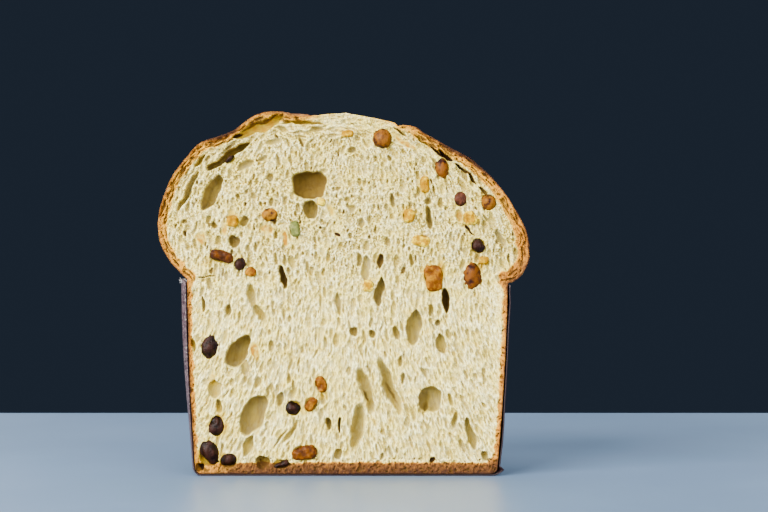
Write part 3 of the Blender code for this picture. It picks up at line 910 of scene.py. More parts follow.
    def surface(self, x: np.ndarray, z: np.ndarray) -> np.ndarray:
        """Finds how far behind the cut the crumb lies.

        Args:
            x: Points' x.
            z: Points' z.

        Returns:
            One depth in millimetres for each point.
        """
        points = in_space(x, z)
        strength = mix(0.24, 0.34, ease((z - 105) / 25))
        fibres = strength * LatticeNoise(Seed.FIBRES).at(self.drawn(x, z), 2.0, octaves=2)
        bare = self.relief.read(self.relief.bare, x, z)
        rough = 0.16 * LatticeNoise(Seed.ROUGH).at(points, 4.0, octaves=2)
        rough += 0.07 * LatticeNoise(Seed.GRIT).at(points, 1.1)
        wave = 0.9 * LatticeNoise(Seed.LIE).at(points, 24.0, octaves=2)
        skin = 0.09 * LatticeNoise(Seed.SKIN).at(points, 4.2, octaves=2)
        pressed = self.relief.read(self.relief.depth, x, z)
        inside = self.face.depth_inside(x, z)
        lie = (wave + 0.9) * ease(inside / 7.0)
        depth = pressed * (1 + skin * bare) + (rough + fibres) * (1 - 0.7 * bare) + 0.3
        return np.clip(depth * ease(inside / 1.0) + lie, 0.0, None)


# Materials

Socket = bpy.types.NodeSocket


class Graph:
    """The nodes of one material, added and joined by short calls."""

    # A Mix node's colour sockets go by number, because their names repeat
    MIX_SHARE, MIX_UNDER, MIX_OVER, MIX_RESULT = 0, 6, 7, 2

    def __init__(self, name: str) -> None:
        """Makes the material with its Principled shader.

        Args:
            name: The material's name.
        """
        self.material = bpy.data.materials.new(name)
        self.material.use_nodes = True
        self.tree = self.material.node_tree
        self.shader = self.tree.nodes["Principled BSDF"]
        self.place = self.add("ShaderNodeTexCoord").outputs["Object"]

    def add(self, kind: str, **settings: object) -> bpy.types.Node:
        """Returns a new node of a kind, with the given properties set."""
        node = self.tree.nodes.new(kind)
        for name, value in settings.items():
            setattr(node, name, value)
        return node

    def feed(self, socket: Socket, value: object) -> None:
        """Links a socket to value if that is a socket, and otherwise sets it."""
        if isinstance(value, Socket):
            self.tree.links.new(value, socket)
        else:
            socket.default_value = value

    def attribute(self, name: str) -> Socket:
        """Returns the number that the mesh holds under a name."""
        return self.add("ShaderNodeAttribute", attribute_name=name).outputs["Fac"]

    def attribute_vector(self, name: str) -> Socket:
        """Returns the vector that the mesh holds under a name."""
        return self.add("ShaderNodeAttribute", attribute_name=name).outputs["Vector"]

    def stretched(self, scale: tuple[float, float, float]) -> Socket:
        """Returns Object coordinates, multiplied along each axis."""
        node = self.add("ShaderNodeMapping")
        self.feed(node.inputs["Vector"], self.place)
        node.inputs["Scale"].default_value = scale
        return node.outputs["Vector"]

    def noise(self, size: float, detail: float = 2.0, roughness: float = 0.5,
              vector: Socket | None = None, distortion: float = 0.0) -> Socket:
        """Adds noise.

        Args:
            size: Its largest features, in millimetres.
            detail: Number of finer layers.
            roughness: Strength of the finer layers.
            vector: Coordinates in metres; Object coordinates if left out.
            distortion: How far it is warped.

        Returns:
            The noise, about 0.5.
        """
        node = self.add("ShaderNodeTexNoise")
        self.feed(node.inputs["Vector"], vector or self.place)
        node.inputs["Scale"].default_value = 1 / (size * MM)
        node.inputs["Detail"].default_value = detail
        node.inputs["Roughness"].default_value = roughness
        node.inputs["Distortion"].default_value = distortion
        return node.outputs["Fac"]

    def cells(self, size: float, vector: Socket | None = None, feature: str = "F1",
              smooth: float = 0.3, flat: bool = False) -> Socket:
        """Adds a cell pattern.

        Args:
            size: Size of a cell in millimetres.
            vector: Coordinates in metres; Object coordinates if left out.
            feature: Which distance the pattern gives.
            smooth: Smoothness, for the smooth feature.
            flat: Whether the pattern reads only the first two coordinates.

        Returns:
            Distance to the cell's middle or edge, in cells.
        """
        node = self.add("ShaderNodeTexVoronoi", feature=feature,
                        voronoi_dimensions="2D" if flat else "3D")
        self.feed(node.inputs["Vector"], vector or self.place)
        node.inputs["Scale"].default_value = 1 / (size * MM)
        if feature == "SMOOTH_F1":
            node.inputs["Smoothness"].default_value = smooth
        return node.outputs["Distance"]

    def math(self, operation: str, a: object, b: object = 0.0, clamp: bool = False) -> Socket:
        """Returns the result of a Math node."""
        node = self.add("ShaderNodeMath", operation=operation, use_clamp=clamp)
        self.feed(node.inputs[0], a)
        self.feed(node.inputs[1], b)
        return node.outputs["Value"]

    def spread(self, value: Socket, low: float, high: float, to_low: float = 0.0,
               to_high: float = 1.0) -> Socket:
        """Returns value carried from one range to another, smoothly and within it."""
        node = self.add("ShaderNodeMapRange", interpolation_type="SMOOTHSTEP")
        self.feed(node.inputs["Value"], value)
        for name, number in (("From Min", low), ("From Max", high), ("To Min", to_low),
                             ("To Max", to_high)):
            node.inputs[name].default_value = number
        return node.outputs["Result"]

    def ramp(self, value: Socket, stops: Iterable[tuple[float, Colour]]) -> Socket:
        """Returns a colour ramp read at value."""
        node = self.add("ShaderNodeValToRGB")
        self.feed(node.inputs["Fac"], value)
        stops = list(stops)
        elements = node.color_ramp.elements
        for _ in stops[2:]:
            elements.new(0.5)
        for element, (place, colour) in zip(elements, stops):
            element.position = place
            element.color = colour
        return node.outputs["Color"]

    def blend(self, share: object, under: object, over: object) -> Socket:
        """Lays one colour over another.

        Args:
            share: How much of the upper colour shows, from 0 to 1.
            under: The lower colour or its socket.
            over: The upper colour or its socket.

        Returns:
            The mixed colour.
        """
        node = self.add("ShaderNodeMix", data_type="RGBA", blend_type="MIX", clamp_factor=True)
        self.feed(node.inputs[self.MIX_SHARE], share)
        self.feed(node.inputs[self.MIX_UNDER], under)
        self.feed(node.inputs[self.MIX_OVER], over)
        return node.outputs[self.MIX_RESULT]

    def bump(self, height: Socket, distance: float, strength: float = 1.0,
             normal: Socket | None = None) -> Socket:
        """Returns a normal bent by a height, whose full range is distance millimetres."""
        node = self.add("ShaderNodeBump")
        self.feed(node.inputs["Height"], height)
        node.inputs["Distance"].default_value = distance * MM
        node.inputs["Strength"].default_value = strength
        if normal is not None:
            self.feed(node.inputs["Normal"], normal)
        return node.outputs["Normal"]

    def finish(self, colour: object, roughness: object, normal: Socket | None = None,
               **constants: object) -> bpy.types.Material:
        """Joins the shader up.

        Args:
            colour: Base colour or its socket.
            roughness: Roughness or its socket.
            normal: The bumped normal.
            constants: Values of the shader's other sockets, with _ for spaces.

        Returns:
            The material.
        """
        self.feed(self.shader.inputs["Base Color"], colour)
        self.feed(self.shader.inputs["Roughness"], roughness)
        if normal is not None:
            self.feed(self.shader.inputs["Normal"], normal)
        for name, value in constants.items():
            self.shader.inputs[name.replace("_", " ")].default_value = value
        return self.material


@dataclass(frozen=True)
class CrumbFinish:
    """Golden crumb with shade painted olive in its pores and hollows, browning to crust at the edge."""

    cream: Colour = srgb(255, 246, 178)
    butter: Colour = srgb(250, 232, 132)
    straw: Colour = srgb(216, 186, 80)
    # Painted shade in pores and hollows, olive and darker
    pore_shade_olive: Colour = srgb(142, 120, 42)
    shade: Colour = srgb(100, 80, 30)
    brown: Colour = srgb(80, 54, 20)
    gold: Colour = srgb(236, 202, 84)
    honey: Colour = srgb(190, 158, 0)
    amber: Colour = srgb(156, 104, 0)
    # Painted shade in the crust's pores and hollows, and in the deepest slits and pits
    pit_shade: Colour = srgb(60, 34, 16)
    dark: Colour = srgb(28, 14, 8)
    toast: tuple[tuple[float, Colour], ...] = (
        (0.0, srgb(240, 208, 104)),
        (0.3, srgb(214, 156, 42)),
        (0.55, srgb(180, 116, 30)),
        (0.8, srgb(102, 64, 30)),
        (1.0, srgb(54, 32, 20)),
    )

    def material(self) -> bpy.types.Material:
        """Returns the crumb's material."""
        g = Graph("crumb")
        cavity_shade, tone = g.attribute("cavity_shade"), g.attribute("tone")
        amber, bake, bare = g.attribute("amber"), g.attribute("bake"), g.attribute("bare")
        grain = g.attribute_vector("grain")
        base = g.blend(g.spread(g.noise(8, 4, 0.6), 0.35, 0.65), self.cream, self.butter)
        strand = g.spread(g.noise(1.7, 3, 0.6, grain), 0.44, 0.68)
        base = g.blend(g.math("MULTIPLY", strand, 0.62), base, self.straw)
        fleck = g.spread(g.noise(5.5, 4, 0.7, distortion=0.6), 0.55, 0.68)
        base = g.blend(g.math("MULTIPLY", fleck, 0.7), base, self.gold)
        uneven = g.spread(g.noise(6.5, 3), 0.34, 0.64, 0.35, 1.0)
        # Painted shade: cell dots darken small pores to olive, more so higher up; the same dots dent the
        # bump.
        coarse = g.math("SUBTRACT", 1.0, g.spread(g.cells(1.5, grain, flat=True), 0.18, 0.46))
        fine = g.math("SUBTRACT", 1.0, g.spread(g.cells(0.75, grain, flat=True), 0.14, 0.42))
        pore_shade_mask = g.math("MAXIMUM", g.math("MULTIPLY", coarse, uneven), g.math("MULTIPLY", fine, 0.6))
        pore_shade_mask = g.math("MULTIPLY", pore_shade_mask, g.math("SUBTRACT", 1.0, bare))
        height_up = g.add("ShaderNodeSeparateXYZ")
        g.feed(height_up.inputs[0], g.place)
        upper = g.spread(height_up.outputs["Z"], 0.105, 0.135, 0.8, 1.15)
        pore_shade_mask = g.math("MULTIPLY", pore_shade_mask, upper)
        colour = g.blend(g.math("MULTIPLY", pore_shade_mask, 0.95), base, self.pore_shade_olive)
        patch = g.math("MULTIPLY", g.math("SUBTRACT", g.noise(2.0, 5, 0.65), 0.5), 0.7)
        crust = g.ramp(g.math("ADD", bake, patch), self.toast)
        # Painted shade: dots darken the crust's small pores.
        pits = g.math("SUBTRACT", 1.0, g.spread(g.cells(1.2, grain, flat=True), 0.10, 0.34))
        crust_pore_shade = g.math("MULTIPLY", pits, g.spread(g.noise(2.4, 2), 0.44, 0.62))
        crust = g.blend(crust_pore_shade, crust, self.pit_shade)
        colour = g.blend(g.spread(bake, 0.04, 0.34), colour, crust)
        drawn = self.streaks(g, grain)
        # Painted shade in hollows: olive streaked darker, dark brown in the crust, laid on more the
        # deeper the crumb lies.
        inside = g.blend(g.math("MULTIPLY", drawn, bare), self.pore_shade_olive, self.shade)
        inside = g.blend(g.spread(bake, 0.1, 0.5), inside, self.pit_shade)
        colour = g.blend(g.math("MULTIPLY", cavity_shade, 0.85), colour, inside)
        # Painted glow where light shines through the crust over the hollows under the crown, and the
        # syrup's stains round the fruit, in honey and amber, kept off the baked crust.
        glow = g.math("MULTIPLY", amber, g.spread(g.noise(4, 2), 0.25, 0.6, 0.6, 1.0))
        glow = g.math("MULTIPLY", glow, g.spread(bake, 0.35, 0.5, 1.0, 0.1))
        colour = g.blend(glow, colour, g.blend(g.spread(glow, 0.55, 1.0), self.honey, self.amber))
        # Painted shade in hollows, slits, pits and round the fruit, deepening to brown and nearly black;
        # it also darkens stains and bits of peel.
        colour = g.blend(g.spread(tone, 0.25, 1.0), colour, self.brown)
        colour = g.blend(g.spread(tone, 0.84, 1.0, 0.0, 0.8), colour, self.dark)
        height = g.math("ADD", g.math("MULTIPLY", pore_shade_mask, -0.8), g.math("MULTIPLY", g.noise(0.5, 2), 0.5))
        height = g.math("ADD", height, g.math("MULTIPLY", drawn, g.math("MULTIPLY", bare, -0.6)))
        normal = g.bump(height, 0.4, 0.8)
        return g.finish(
            colour, 0.85, normal, Subsurface_Weight=0.2, Subsurface_Scale=0.0016,
            Subsurface_Radius=(1.0, 0.75, 0.3), Specular_IOR_Level=0.05,
        )

    @staticmethod
    def streaks(g: Graph, grain: Socket) -> Socket:
        """Returns the drawn skin of a gas cell: soft streaks along the grain, from 0 to 1."""
        turned = g.add("ShaderNodeMapping")
        g.feed(turned.inputs["Vector"], grain)
        turned.inputs["Scale"].default_value = (1.0, 0.6, 1.0)
        return g.spread(g.noise(2.6, 4, 0.6, turned.outputs["Vector"], 0.6), 0.36, 0.66)


@dataclass(frozen=True)
class CrustFinish:
    """Browned crust, from pale gold where the dough tore open to nearly black where it caught."""

    tones: tuple[tuple[float, Colour], ...] = (
        (0.0, srgb(236, 212, 140)),
        (0.25, srgb(198, 146, 50)),
        (0.5, srgb(146, 94, 32)),
        (0.75, srgb(94, 54, 22)),
        (1.0, srgb(40, 24, 18)),
    )

    def material(self) -> bpy.types.Material:
        """Returns the crust's material."""
        g = Graph("crust")
        toast = g.attribute("toast")
        patch = g.math("MULTIPLY", g.math("SUBTRACT", g.noise(16, 4, 0.6), 0.5), 0.75)
        fleck = g.math("MULTIPLY", g.math("SUBTRACT", g.noise(1.6, 5, 0.7), 0.5), 0.5)
        shade = g.math("ADD", g.math("ADD", toast, patch), fleck, clamp=True)
        colour = g.ramp(shade, self.tones)
        blister = g.spread(g.cells(2.4, None, "SMOOTH_F1", 0.6), 0.05, 0.6)
        creases = g.cells(3.6, g.stretched((1.0, 1.0, 1.7)), "DISTANCE_TO_EDGE")
        crease = g.spread(creases, 0.0, 0.09)
        in_crease = g.math("MULTIPLY", g.math("SUBTRACT", 1.0, crease), 0.1)
        colour = g.blend(in_crease, colour, self.tones[1][1])
        height = g.math("ADD", g.math("MULTIPLY", blister, -0.5),
                        g.math("ADD", g.math("MULTIPLY", crease, 0.15), g.noise(0.9, 4, 0.6)))
        normal = g.bump(height, 0.5, 0.7)
        gloss = g.spread(g.noise(9, 3), 0.3, 0.7, 0.42, 0.62)
        return g.finish(
            colour, gloss, normal, Specular_IOR_Level=0.16, Coat_Weight=0.03, Coat_Roughness=0.35,
            Subsurface_Weight=0.06, Subsurface_Scale=0.0015, Subsurface_Radius=(1.0, 0.5, 0.25),
        )


@dataclass(frozen=True)
class PaperFinish:
    """Plum-brown waxed baking paper with fine upright flutes, paler where worn, with light painted on its
    left cut end and shade painted on its right cut end and foot.
    """

    plum: Colour = srgb(54, 36, 41)
    deep: Colour = srgb(30, 17, 21)
    rubbed_and_lit: Colour = srgb(84, 66, 70)
    fibre: Colour = srgb(196, 188, 180)

    def material(self) -> bpy.types.Material:
        """Returns the paper's material."""
        g = Graph("baking_paper")
        rib, worn = g.attribute("rib"), g.attribute("worn")
        cloud = g.spread(g.noise(24, 4, 0.6), 0.3, 0.7)
        # Painted shade: the paper turns to its deep colour at the right cut end and the foot.
        colour = g.blend(g.math("MULTIPLY", cloud, g.attribute("clear_of_painted_shade")), self.deep, self.plum)
        grease = g.spread(g.noise(9, 3, 0.5, g.stretched((1.0, 1.0, 0.4))), 0.52, 0.66)
        colour = g.blend(g.math("MULTIPLY", grease, 0.45), colour, self.deep)
        fibre = g.noise(0.7, 3, 0.6, g.stretched((1.0, 1.0, 0.25)))
        # Painted light and wear: the left cut end is painted a paler mauve, and the top edge and the foot
        # are worn paler.
        rub_and_light = g.math("MULTIPLY", worn, g.spread(g.noise(3, 5, 0.7), 0.36, 0.62))
        colour = g.blend(rub_and_light, colour, self.rubbed_and_lit)
        speck = g.spread(g.noise(1.3, 4, 0.7), 0.56, 0.68, 0.0, 0.5)
        colour = g.blend(g.math("MULTIPLY", worn, speck), colour, self.fibre)
        colour = g.blend(g.attribute("torn"), colour, self.fibre)
        height = g.math("ADD", g.math("MULTIPLY", rib, 0.8), g.math("MULTIPLY", fibre, 0.35))
        normal = g.bump(height, 0.35, 0.7)
        gloss = g.spread(g.noise(12, 3), 0.3, 0.7, 0.30, 0.46)
        return g.finish(colour, gloss, normal, Specular_IOR_Level=0.2, Sheen_Weight=0.02,
                        Sheen_Roughness=0.4)


@dataclass(frozen=True)
class RaisinFinish:
    """A raisin's skin: shade painted dark in its creases and a highlight painted lighter on its ridges,
    lighter too where it is a riper one.
    """

    name: str
    dark: Colour
    light: Colour
    ripe: Colour
    glow: float = 0.05
    gloss: float = 0.07
    patchy: float = 0.9
    rough: float = 0.8

    def material(self) -> bpy.types.Material:
        """Returns the raisin's material."""
        g = Graph(self.name)
        crease = g.attribute("crease")
        light = g.blend(g.attribute("ripe"), self.light, self.ripe)
        patch = g.math("MULTIPLY", g.math("SUBTRACT", g.noise(3.0, 3, 0.5), 0.5), self.patchy)
        shade = g.math("ADD", crease, patch)
        # Painted shade and highlight: the skin is darker in its creases and lighter on its ridges.
        colour = g.blend(g.spread(shade, 0.1, 0.95), self.dark, light)
        wrinkles = g.math("ADD", g.noise(0.5, 3), g.cells(1.1, None, "SMOOTH_F1", 0.4))
        normal = g.bump(wrinkles, 0.3, self.rough)
        gloss = g.spread(g.noise(1.8, 2), 0.3, 0.7, 0.26, 0.5)
        return g.finish(colour, gloss, normal, Specular_IOR_Level=self.gloss, Coat_Weight=0.02,
                        Coat_Roughness=0.08,
                        Subsurface_Weight=self.glow, Subsurface_Scale=0.002,
                        Subsurface_Radius=(1.0, 0.35, 0.15))


@dataclass(frozen=True)
class CandiedFinish:
    """Candied peel: half clear and wet, darker in its dents and lighter on its lumps."""

    name: str
    tones: tuple[Colour, Colour, Colour, Colour]
    gloss: float = 0.02
    coat: float = 0.03

    def material(self) -> bpy.types.Material:
        """Returns the candied piece's material."""
        g = Graph(self.name)
        crease = g.math("MULTIPLY", g.math("SUBTRACT", g.attribute("crease"), 0.5), 0.5)
        patch = g.math("MULTIPLY", g.math("SUBTRACT", g.noise(3.0, 4, 0.6), 0.5), 1.5)
        shade = g.math("ADD", g.attribute("ripe"), g.math("ADD", crease, patch), clamp=True)
        colour = g.ramp(shade, zip((0.0, 0.35, 0.7, 1.0), self.tones))
        normal = g.bump(g.noise(0.9, 3), 0.25, 0.6)
        gloss = g.spread(g.noise(1.4, 2), 0.3, 0.7, 0.14, 0.4)
        return g.finish(colour, gloss, normal, Specular_IOR_Level=self.gloss, Coat_Weight=self.coat,
                        Coat_Roughness=0.05, Subsurface_Weight=0.1, Subsurface_Scale=0.002,
                        Subsurface_Radius=(1.0, 0.7, 0.2))


FRUIT_FINISHES: dict[FruitKind, RaisinFinish | CandiedFinish] = {
    FruitKind.RAISIN: RaisinFinish(
        "raisin", srgb(7, 2, 1), srgb(38, 17, 10), srgb(40, 19, 12), gloss=0.08),
    FruitKind.PLUM_RAISIN: RaisinFinish(
        "plum_raisin", srgb(34, 13, 8), srgb(72, 36, 18), srgb(96, 54, 36), 0.1),
    FruitKind.AMBER_RAISIN: RaisinFinish(
        "amber_raisin", srgb(34, 14, 12), srgb(90, 45, 13), srgb(142, 94, 8), 0.12, 0.05, 2.6, 0.4),
    FruitKind.ORANGE_PEEL: CandiedFinish("orange_peel", (
        srgb(36, 18, 10), srgb(66, 34, 12), srgb(98, 54, 8), srgb(148, 98, 8))),
    FruitKind.CITRON: CandiedFinish("citron", (
        srgb(84, 52, 0), srgb(126, 84, 0), srgb(160, 114, 0), srgb(226, 196, 40)), 0.0, 0.01),
    FruitKind.GREEN_CITRON: CandiedFinish("green_citron", (
        srgb(62, 66, 26), srgb(80, 86, 38), srgb(98, 102, 50), srgb(138, 136, 80))),
}

# How deeply a raisin's skin is drawn into creases, from 0 to 1
DRYNESS = {FruitKind.RAISIN: 1.0, FruitKind.PLUM_RAISIN: 0.8, FruitKind.AMBER_RAISIN: 0.65}

# How ripe a raisin is, or how pale a candied piece, from 0 to 1
USUAL_RIPENESS = 0.62
RIPENESS = {
    "raisin_11": 0.15, "raisin_12": 0.2, "raisin_13": 0.3, "raisin_14": 0.4, "raisin_15": 0.85,
    "orange_peel_1": 0.5, "orange_peel_2": 0.66, "orange_peel_3": 0.7, "orange_peel_4": 0.3,
    "orange_peel_5": 0.8, "orange_peel_6": 0.72, "citron_3": 0.66, "citron_4": 0.66,
    "citron_2": 0.95, "citron_5": 0.8, "citron_6": 0.7, "citron_8": 0.85,
}


# How strongly a piece has stained the crumb round it, from 0 to 1
USUAL_STAIN = 0.35
STAINS = {
    "raisin_1": 0.1, "raisin_2": 0.9, "raisin_3": 0.9, "raisin_4": 0.7, "raisin_9": 0.6,
    "raisin_10": 0.2,
    "orange_peel_2": 0.7, "orange_peel_3": 0.7, "orange_peel_4": 0.6, "orange_peel_6": 0.9,
    "citron_1": 0.8, "citron_3": 0.75, "citron_4": 0.8, "citron_6": 0.8, "citron_7": 0.8,
    "green_citron_1": 0.1,
}


# Modelling helpers

def deselect_all() -> None:
    """Deselects every object, in object mode."""
    if bpy.context.object and bpy.context.object.mode != "OBJECT":
        bpy.ops.object.mode_set(mode="OBJECT")
    bpy.ops.object.select_all(action="DESELECT")


def start_grid(name: str, across: int, upward: int) -> bpy.types.Object:
    """Adds a square grid, 1 by 1, selected and active.

    Args:
        name: The object's name.
        across: Faces along X.
        upward: Faces along Y.

    Returns:
        The grid.
    """
    deselect_all()
    bpy.ops.mesh.primitive_grid_add(x_subdivisions=across, y_subdivisions=upward, size=1.0)
    grid = bpy.context.object
    grid.name = grid.data.name = name
    return grid


def places(mesh: bpy.types.Mesh) -> np.ndarray:
    """Returns the places of a mesh's points, one a row."""
    flat = np.empty(len(mesh.vertices) * 3)
    mesh.vertices.foreach_get("co", flat)
    return flat.reshape(-1, 3)


def move_to(mesh: bpy.types.Mesh, points: np.ndarray) -> None:
    """Moves a mesh's points to the given places."""
    mesh.vertices.foreach_set("co", np.ascontiguousarray(points).ravel())
    mesh.update()


def normals(mesh: bpy.types.Mesh) -> np.ndarray:
    """Returns the normals at a mesh's points, one a row."""
    flat = np.empty(len(mesh.vertices) * 3)
    mesh.vertex_normals.foreach_get("vector", flat)
    return flat.reshape(-1, 3)


def tell(mesh: bpy.types.Mesh, name: str, values: np.ndarray) -> None:
    """Keeps one number or vector for each point of a mesh, for its material to read."""
    if values.ndim == 2:
        layer = mesh.attributes.new(name, "FLOAT_VECTOR", "POINT")
        layer.data.foreach_set("vector", np.ascontiguousarray(values).ravel())
    else:
        layer = mesh.attributes.new(name, "FLOAT", "POINT")
        layer.data.foreach_set("value", np.ascontiguousarray(values, float))


def select_open_edges() -> None:
    """Selects the open edges of the mesh that is being edited."""
    bpy.ops.mesh.select_mode(type="EDGE")
    bpy.ops.mesh.select_all(action="DESELECT")
    bpy.ops.mesh.select_non_manifold(extend=False, use_wire=False, use_multi_face=False,
                                     use_non_contiguous=False, use_verts=False)


def draw_in(offset: tuple[float, float, float], share: float, middle: tuple[float, float, float]) -> None:
    """Extrudes the selected edges by an offset in millimetres and narrows them about a middle."""
    bpy.ops.mesh.extrude_region_move(
        TRANSFORM_OT_translate={"value": tuple(value * MM for value in offset)}
    )
    if share != 1.0:
        bpy.ops.transform.resize(value=(share, 1.0, share),
                                 center_override=tuple(value * MM for value in middle))


def hand_over(piece: bpy.types.Object, nodes: Iterable[str]) -> None:
    """Shades a piece smooth, ties it to the frame and reports it.

    Args:
        piece: The finished piece.
        nodes: CAD nodes that the piece stands for.
    """
    deselect_all()
    piece.select_set(True)
    bpy.context.view_layer.objects.active = piece
    bpy.ops.object.shade_smooth()
    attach(piece, "root")
    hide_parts(*nodes)
    piece.data.calc_loop_triangles()
    LOG.info("%s: %d triangles", piece.name, len(piece.data.loop_triangles))


# The pieces

@dataclass
class CrumbFace:
    """The cut face: crumb and the crust's section, with the loaf's inside behind it."""

    outline: CutOutline
    sponge: Sponge
    columns: int = 450
    rows: int = 440
    triangles: int = 188000
    edge_depth: float = 0.4
    slope_depth: float = 6.0
    back_depth: float = 11.0
    inset: float = 0.978
    back_inset: float = 0.945

    def build(self, material: bpy.types.Material) -> bpy.types.Object:
        """Builds the face: a fine grid, pressed, thinned where it is flat, and closed behind.

        Args:
            material: The crumb's material.

        Returns:
            The piece.
        """
        piece = start_grid("crumb_face", self.columns, self.rows)
        square = places(piece.data)
        x, z = self.outline.fill(square[:, 0] + 0.5, square[:, 1] + 0.5)
        y = CUT_Y + self.sponge.surface(x, z)
        move_to(piece.data, np.column_stack([x, y, z]) * MM)
        thin = piece.modifiers.new("thin", "DECIMATE")
        thin.ratio = self.triangles / (2 * self.columns * self.rows)
        bpy.ops.object.modifier_apply(modifier=thin.name)
        self.close()
        self.tint(piece.data)
        piece.data.materials.append(material)
        hand_over(piece, ["panettone"])
        return piece

    def close(self) -> None:
        """Gives the face its sides and back."""
        bpy.ops.object.mode_set(mode="EDIT")
        select_open_edges()
        middle = (AXIS_X, CUT_Y, 100.0)
        draw_in((0, self.edge_depth, 0), 1.0, middle)
        draw_in((0, self.slope_depth, 0), self.inset, middle)
        draw_in((0, self.back_depth, 0), self.back_inset, middle)
        bpy.ops.mesh.edge_face_add()
        bpy.ops.object.mode_set(mode="OBJECT")

    def tint(self, mesh: bpy.types.Mesh) -> None:
        """Keeps on the mesh what its material reads: depth for painted shade in pores and hollows,
        browning, stains with painted glow, and the grain.
        """
        points = places(mesh) / MM
        x, z = points[:, 0], points[:, 2]
        relief = self.sponge.relief
        depth = relief.read(relief.depth, x, z)
        # Painted shade: how deep each point lies, for the material to darken pores and hollows.
        tell(mesh, "cavity_shade", 1 - np.exp(-depth / 1.1))
        tell(mesh, "tone", relief.read(relief.tone, x, z))
        tell(mesh, "amber", relief.read(relief.amber, x, z))
        tell(mesh, "bare", relief.read(relief.bare, x, z))
        tell(mesh, "bake", self.sponge.bake(x, z))
        tell(mesh, "grain", self.sponge.drawn(x, z) * MM)


@dataclass
class Crust:
    """The loaf's outside: crown with its scored cross and lip, side and foot."""

    wear: RimWear
    turns: int = 430
    foot_rows: int = 7
    bend_rows: int = 9
    side_rows: int = 24
    dome_rows: int = 160
    front_gap: float = 0.38
    slope_depth: float = 6.0
    recess: float = 13.0
    recess_inset: float = 0.988
    recess_taper: float = 0.945
    swell: float = 3.0
    swell_size: float = 55.0
    crag: float = 0.9
    crag_size: float = 13.0
    cross_x: float = 10.0
    cross_arms: tuple[float, float] = (math.radians(48), math.radians(132))
    cross_half_width: float = 17.0
    cross_taper: float = 0.16
    cross_depth: float = 3.4
    cross_lip: float = 1.3
    cross_reach: float = 82.0

    def profile(self, side: Side) -> np.ndarray:
        """Returns one side's outline from the foot's middle to the top, row by row."""
        half = OUTLINES[side]
        return np.vstack([
            half.foot(self.foot_rows, self.bend_rows)[:-1],
            half.side(self.side_rows + 1)[:-1],
            half.dome(self.dome_rows + 1),
        ])

    def score(self, x: np.ndarray, y: np.ndarray) -> tuple[np.ndarray, np.ndarray]:
        """Finds the scored cross.

        Args:
            x: Points' x.
            y: Points' y.

        Returns:
            How open the crust is, and how far its lip stands up, each from 0 to 1.
        """
        points = np.column_stack([x, y, np.zeros(len(x))])
        ragged = 2.2 * LatticeNoise(Seed.SCORE).at(points, 6.0, octaves=3)
        dx, dy = x - self.cross_x, y - CUT_Y
        fade = 1 - ease((np.hypot(dx, dy) - 0.55 * self.cross_reach) / (0.45 * self.cross_reach))
        opened, lip = np.zeros(len(x)), np.zeros(len(x))
        for arm in self.cross_arms:
            along = dx * math.cos(arm) + dy * math.sin(arm)
            across = np.abs(dy * math.cos(arm) - dx * math.sin(arm)) + ragged * 0.6
            half = np.maximum(3.0, self.cross_half_width - self.cross_taper * np.maximum(along, 0))
            on_arm = along > -half
            opened = np.maximum(opened, on_arm * (1 - ease((across - 0.66 * half) / (0.24 * half))))
            lip = np.maximum(lip, on_arm * np.exp(-(((across - 1.12 * half) / (0.24 * half)) ** 2)))
        return opened * fade, lip * fade

    def build(self, material: bpy.types.Material) -> bpy.types.Object:
        """Builds the crust.

        Args:
            material: The crust's material.

        Returns:
            The piece.
        """
        left, right = self.profile(Side.LEFT), self.profile(Side.RIGHT)
        rows = len(left) - 1
        piece = start_grid("crust", self.turns, rows)
        square = places(piece.data)
        turn = (square[:, 0] + 0.5) * math.pi
        row = np.rint((square[:, 1] + 0.5) * rows).astype(int)
        points, fields = self.surface(turn, row, left, right)
        move_to(piece.data, points * MM)
        for name, values in fields.items():
            tell(piece.data, name, values)
        self.close()
        bpy.ops.object.mode_set(mode="OBJECT")
        piece.data.materials.append(material)
        hand_over(piece, ["panettone"])
        return piece

    def surface(self, turn: np.ndarray, row: np.ndarray, left: np.ndarray,
                right: np.ndarray) -> tuple[np.ndarray, dict[str, np.ndarray]]:
        """Places the crust's points.

        Args:
            turn: Each point's angle about the axis, from the right edge to the left one.
            row: Each point's row of the outlines.
            left: The left outline.
            right: The right outline.

        Returns:
            The points, and what the material reads.
        """
        share = ((1 - np.cos(turn)) / 2)[:, None]
        flat = mix(right[row], left[row], share)
        out = mix(outward(right)[row], outward(left)[row], share)
        out /= np.linalg.norm(out, axis=1)[:, None]
        points = turned(turn, flat[:, 0], flat[:, 1])
        back = ease((points[:, 1] - CUT_Y) / 16)
        first = self.foot_rows + self.bend_rows - 1 + self.side_rows
        rise = np.clip((row - first) / self.dome_rows, 0, 1)
        crown = row > first
        opened, lip = self.score(points[:, 0], points[:, 1])
        top = ease((rise - 0.45) / 0.25)
        opened, lip = opened * top, lip * top
        swell = self.swell * self.soft_noise(points, self.swell_size, (0, 0, 0))
        crag = self.crag * self.soft_noise(points, self.crag_size, (7, 3, 1))
        push = swell * ease(rise / 0.3) + crag * ease(rise / 0.2)
        push += lip * self.cross_lip - opened * self.cross_depth
        push = push * back * crown
        wrinkle, blister = self.fine_relief(points, rise)
        push += (wrinkle + blister) * crown * (0.3 + 0.7 * back)
        torn = LatticeNoise(Seed.TORN_DOUGH).at(points, 3.0, octaves=3)
        push += opened * back * 1.1 * torn
        push += self.wear.at(points) * ease(flat[:, 1] / self.wear.fade)
        moved = points + turned(turn, out[:, 0] * push, out[:, 1] * push) - (AXIS_X, CUT_Y, 0.0)
        moved[:, 1] = np.maximum(moved[:, 1], CUT_Y + self.front_gap)
        return moved, {"toast": self.toast(points, rise, opened, lip, wrinkle)}

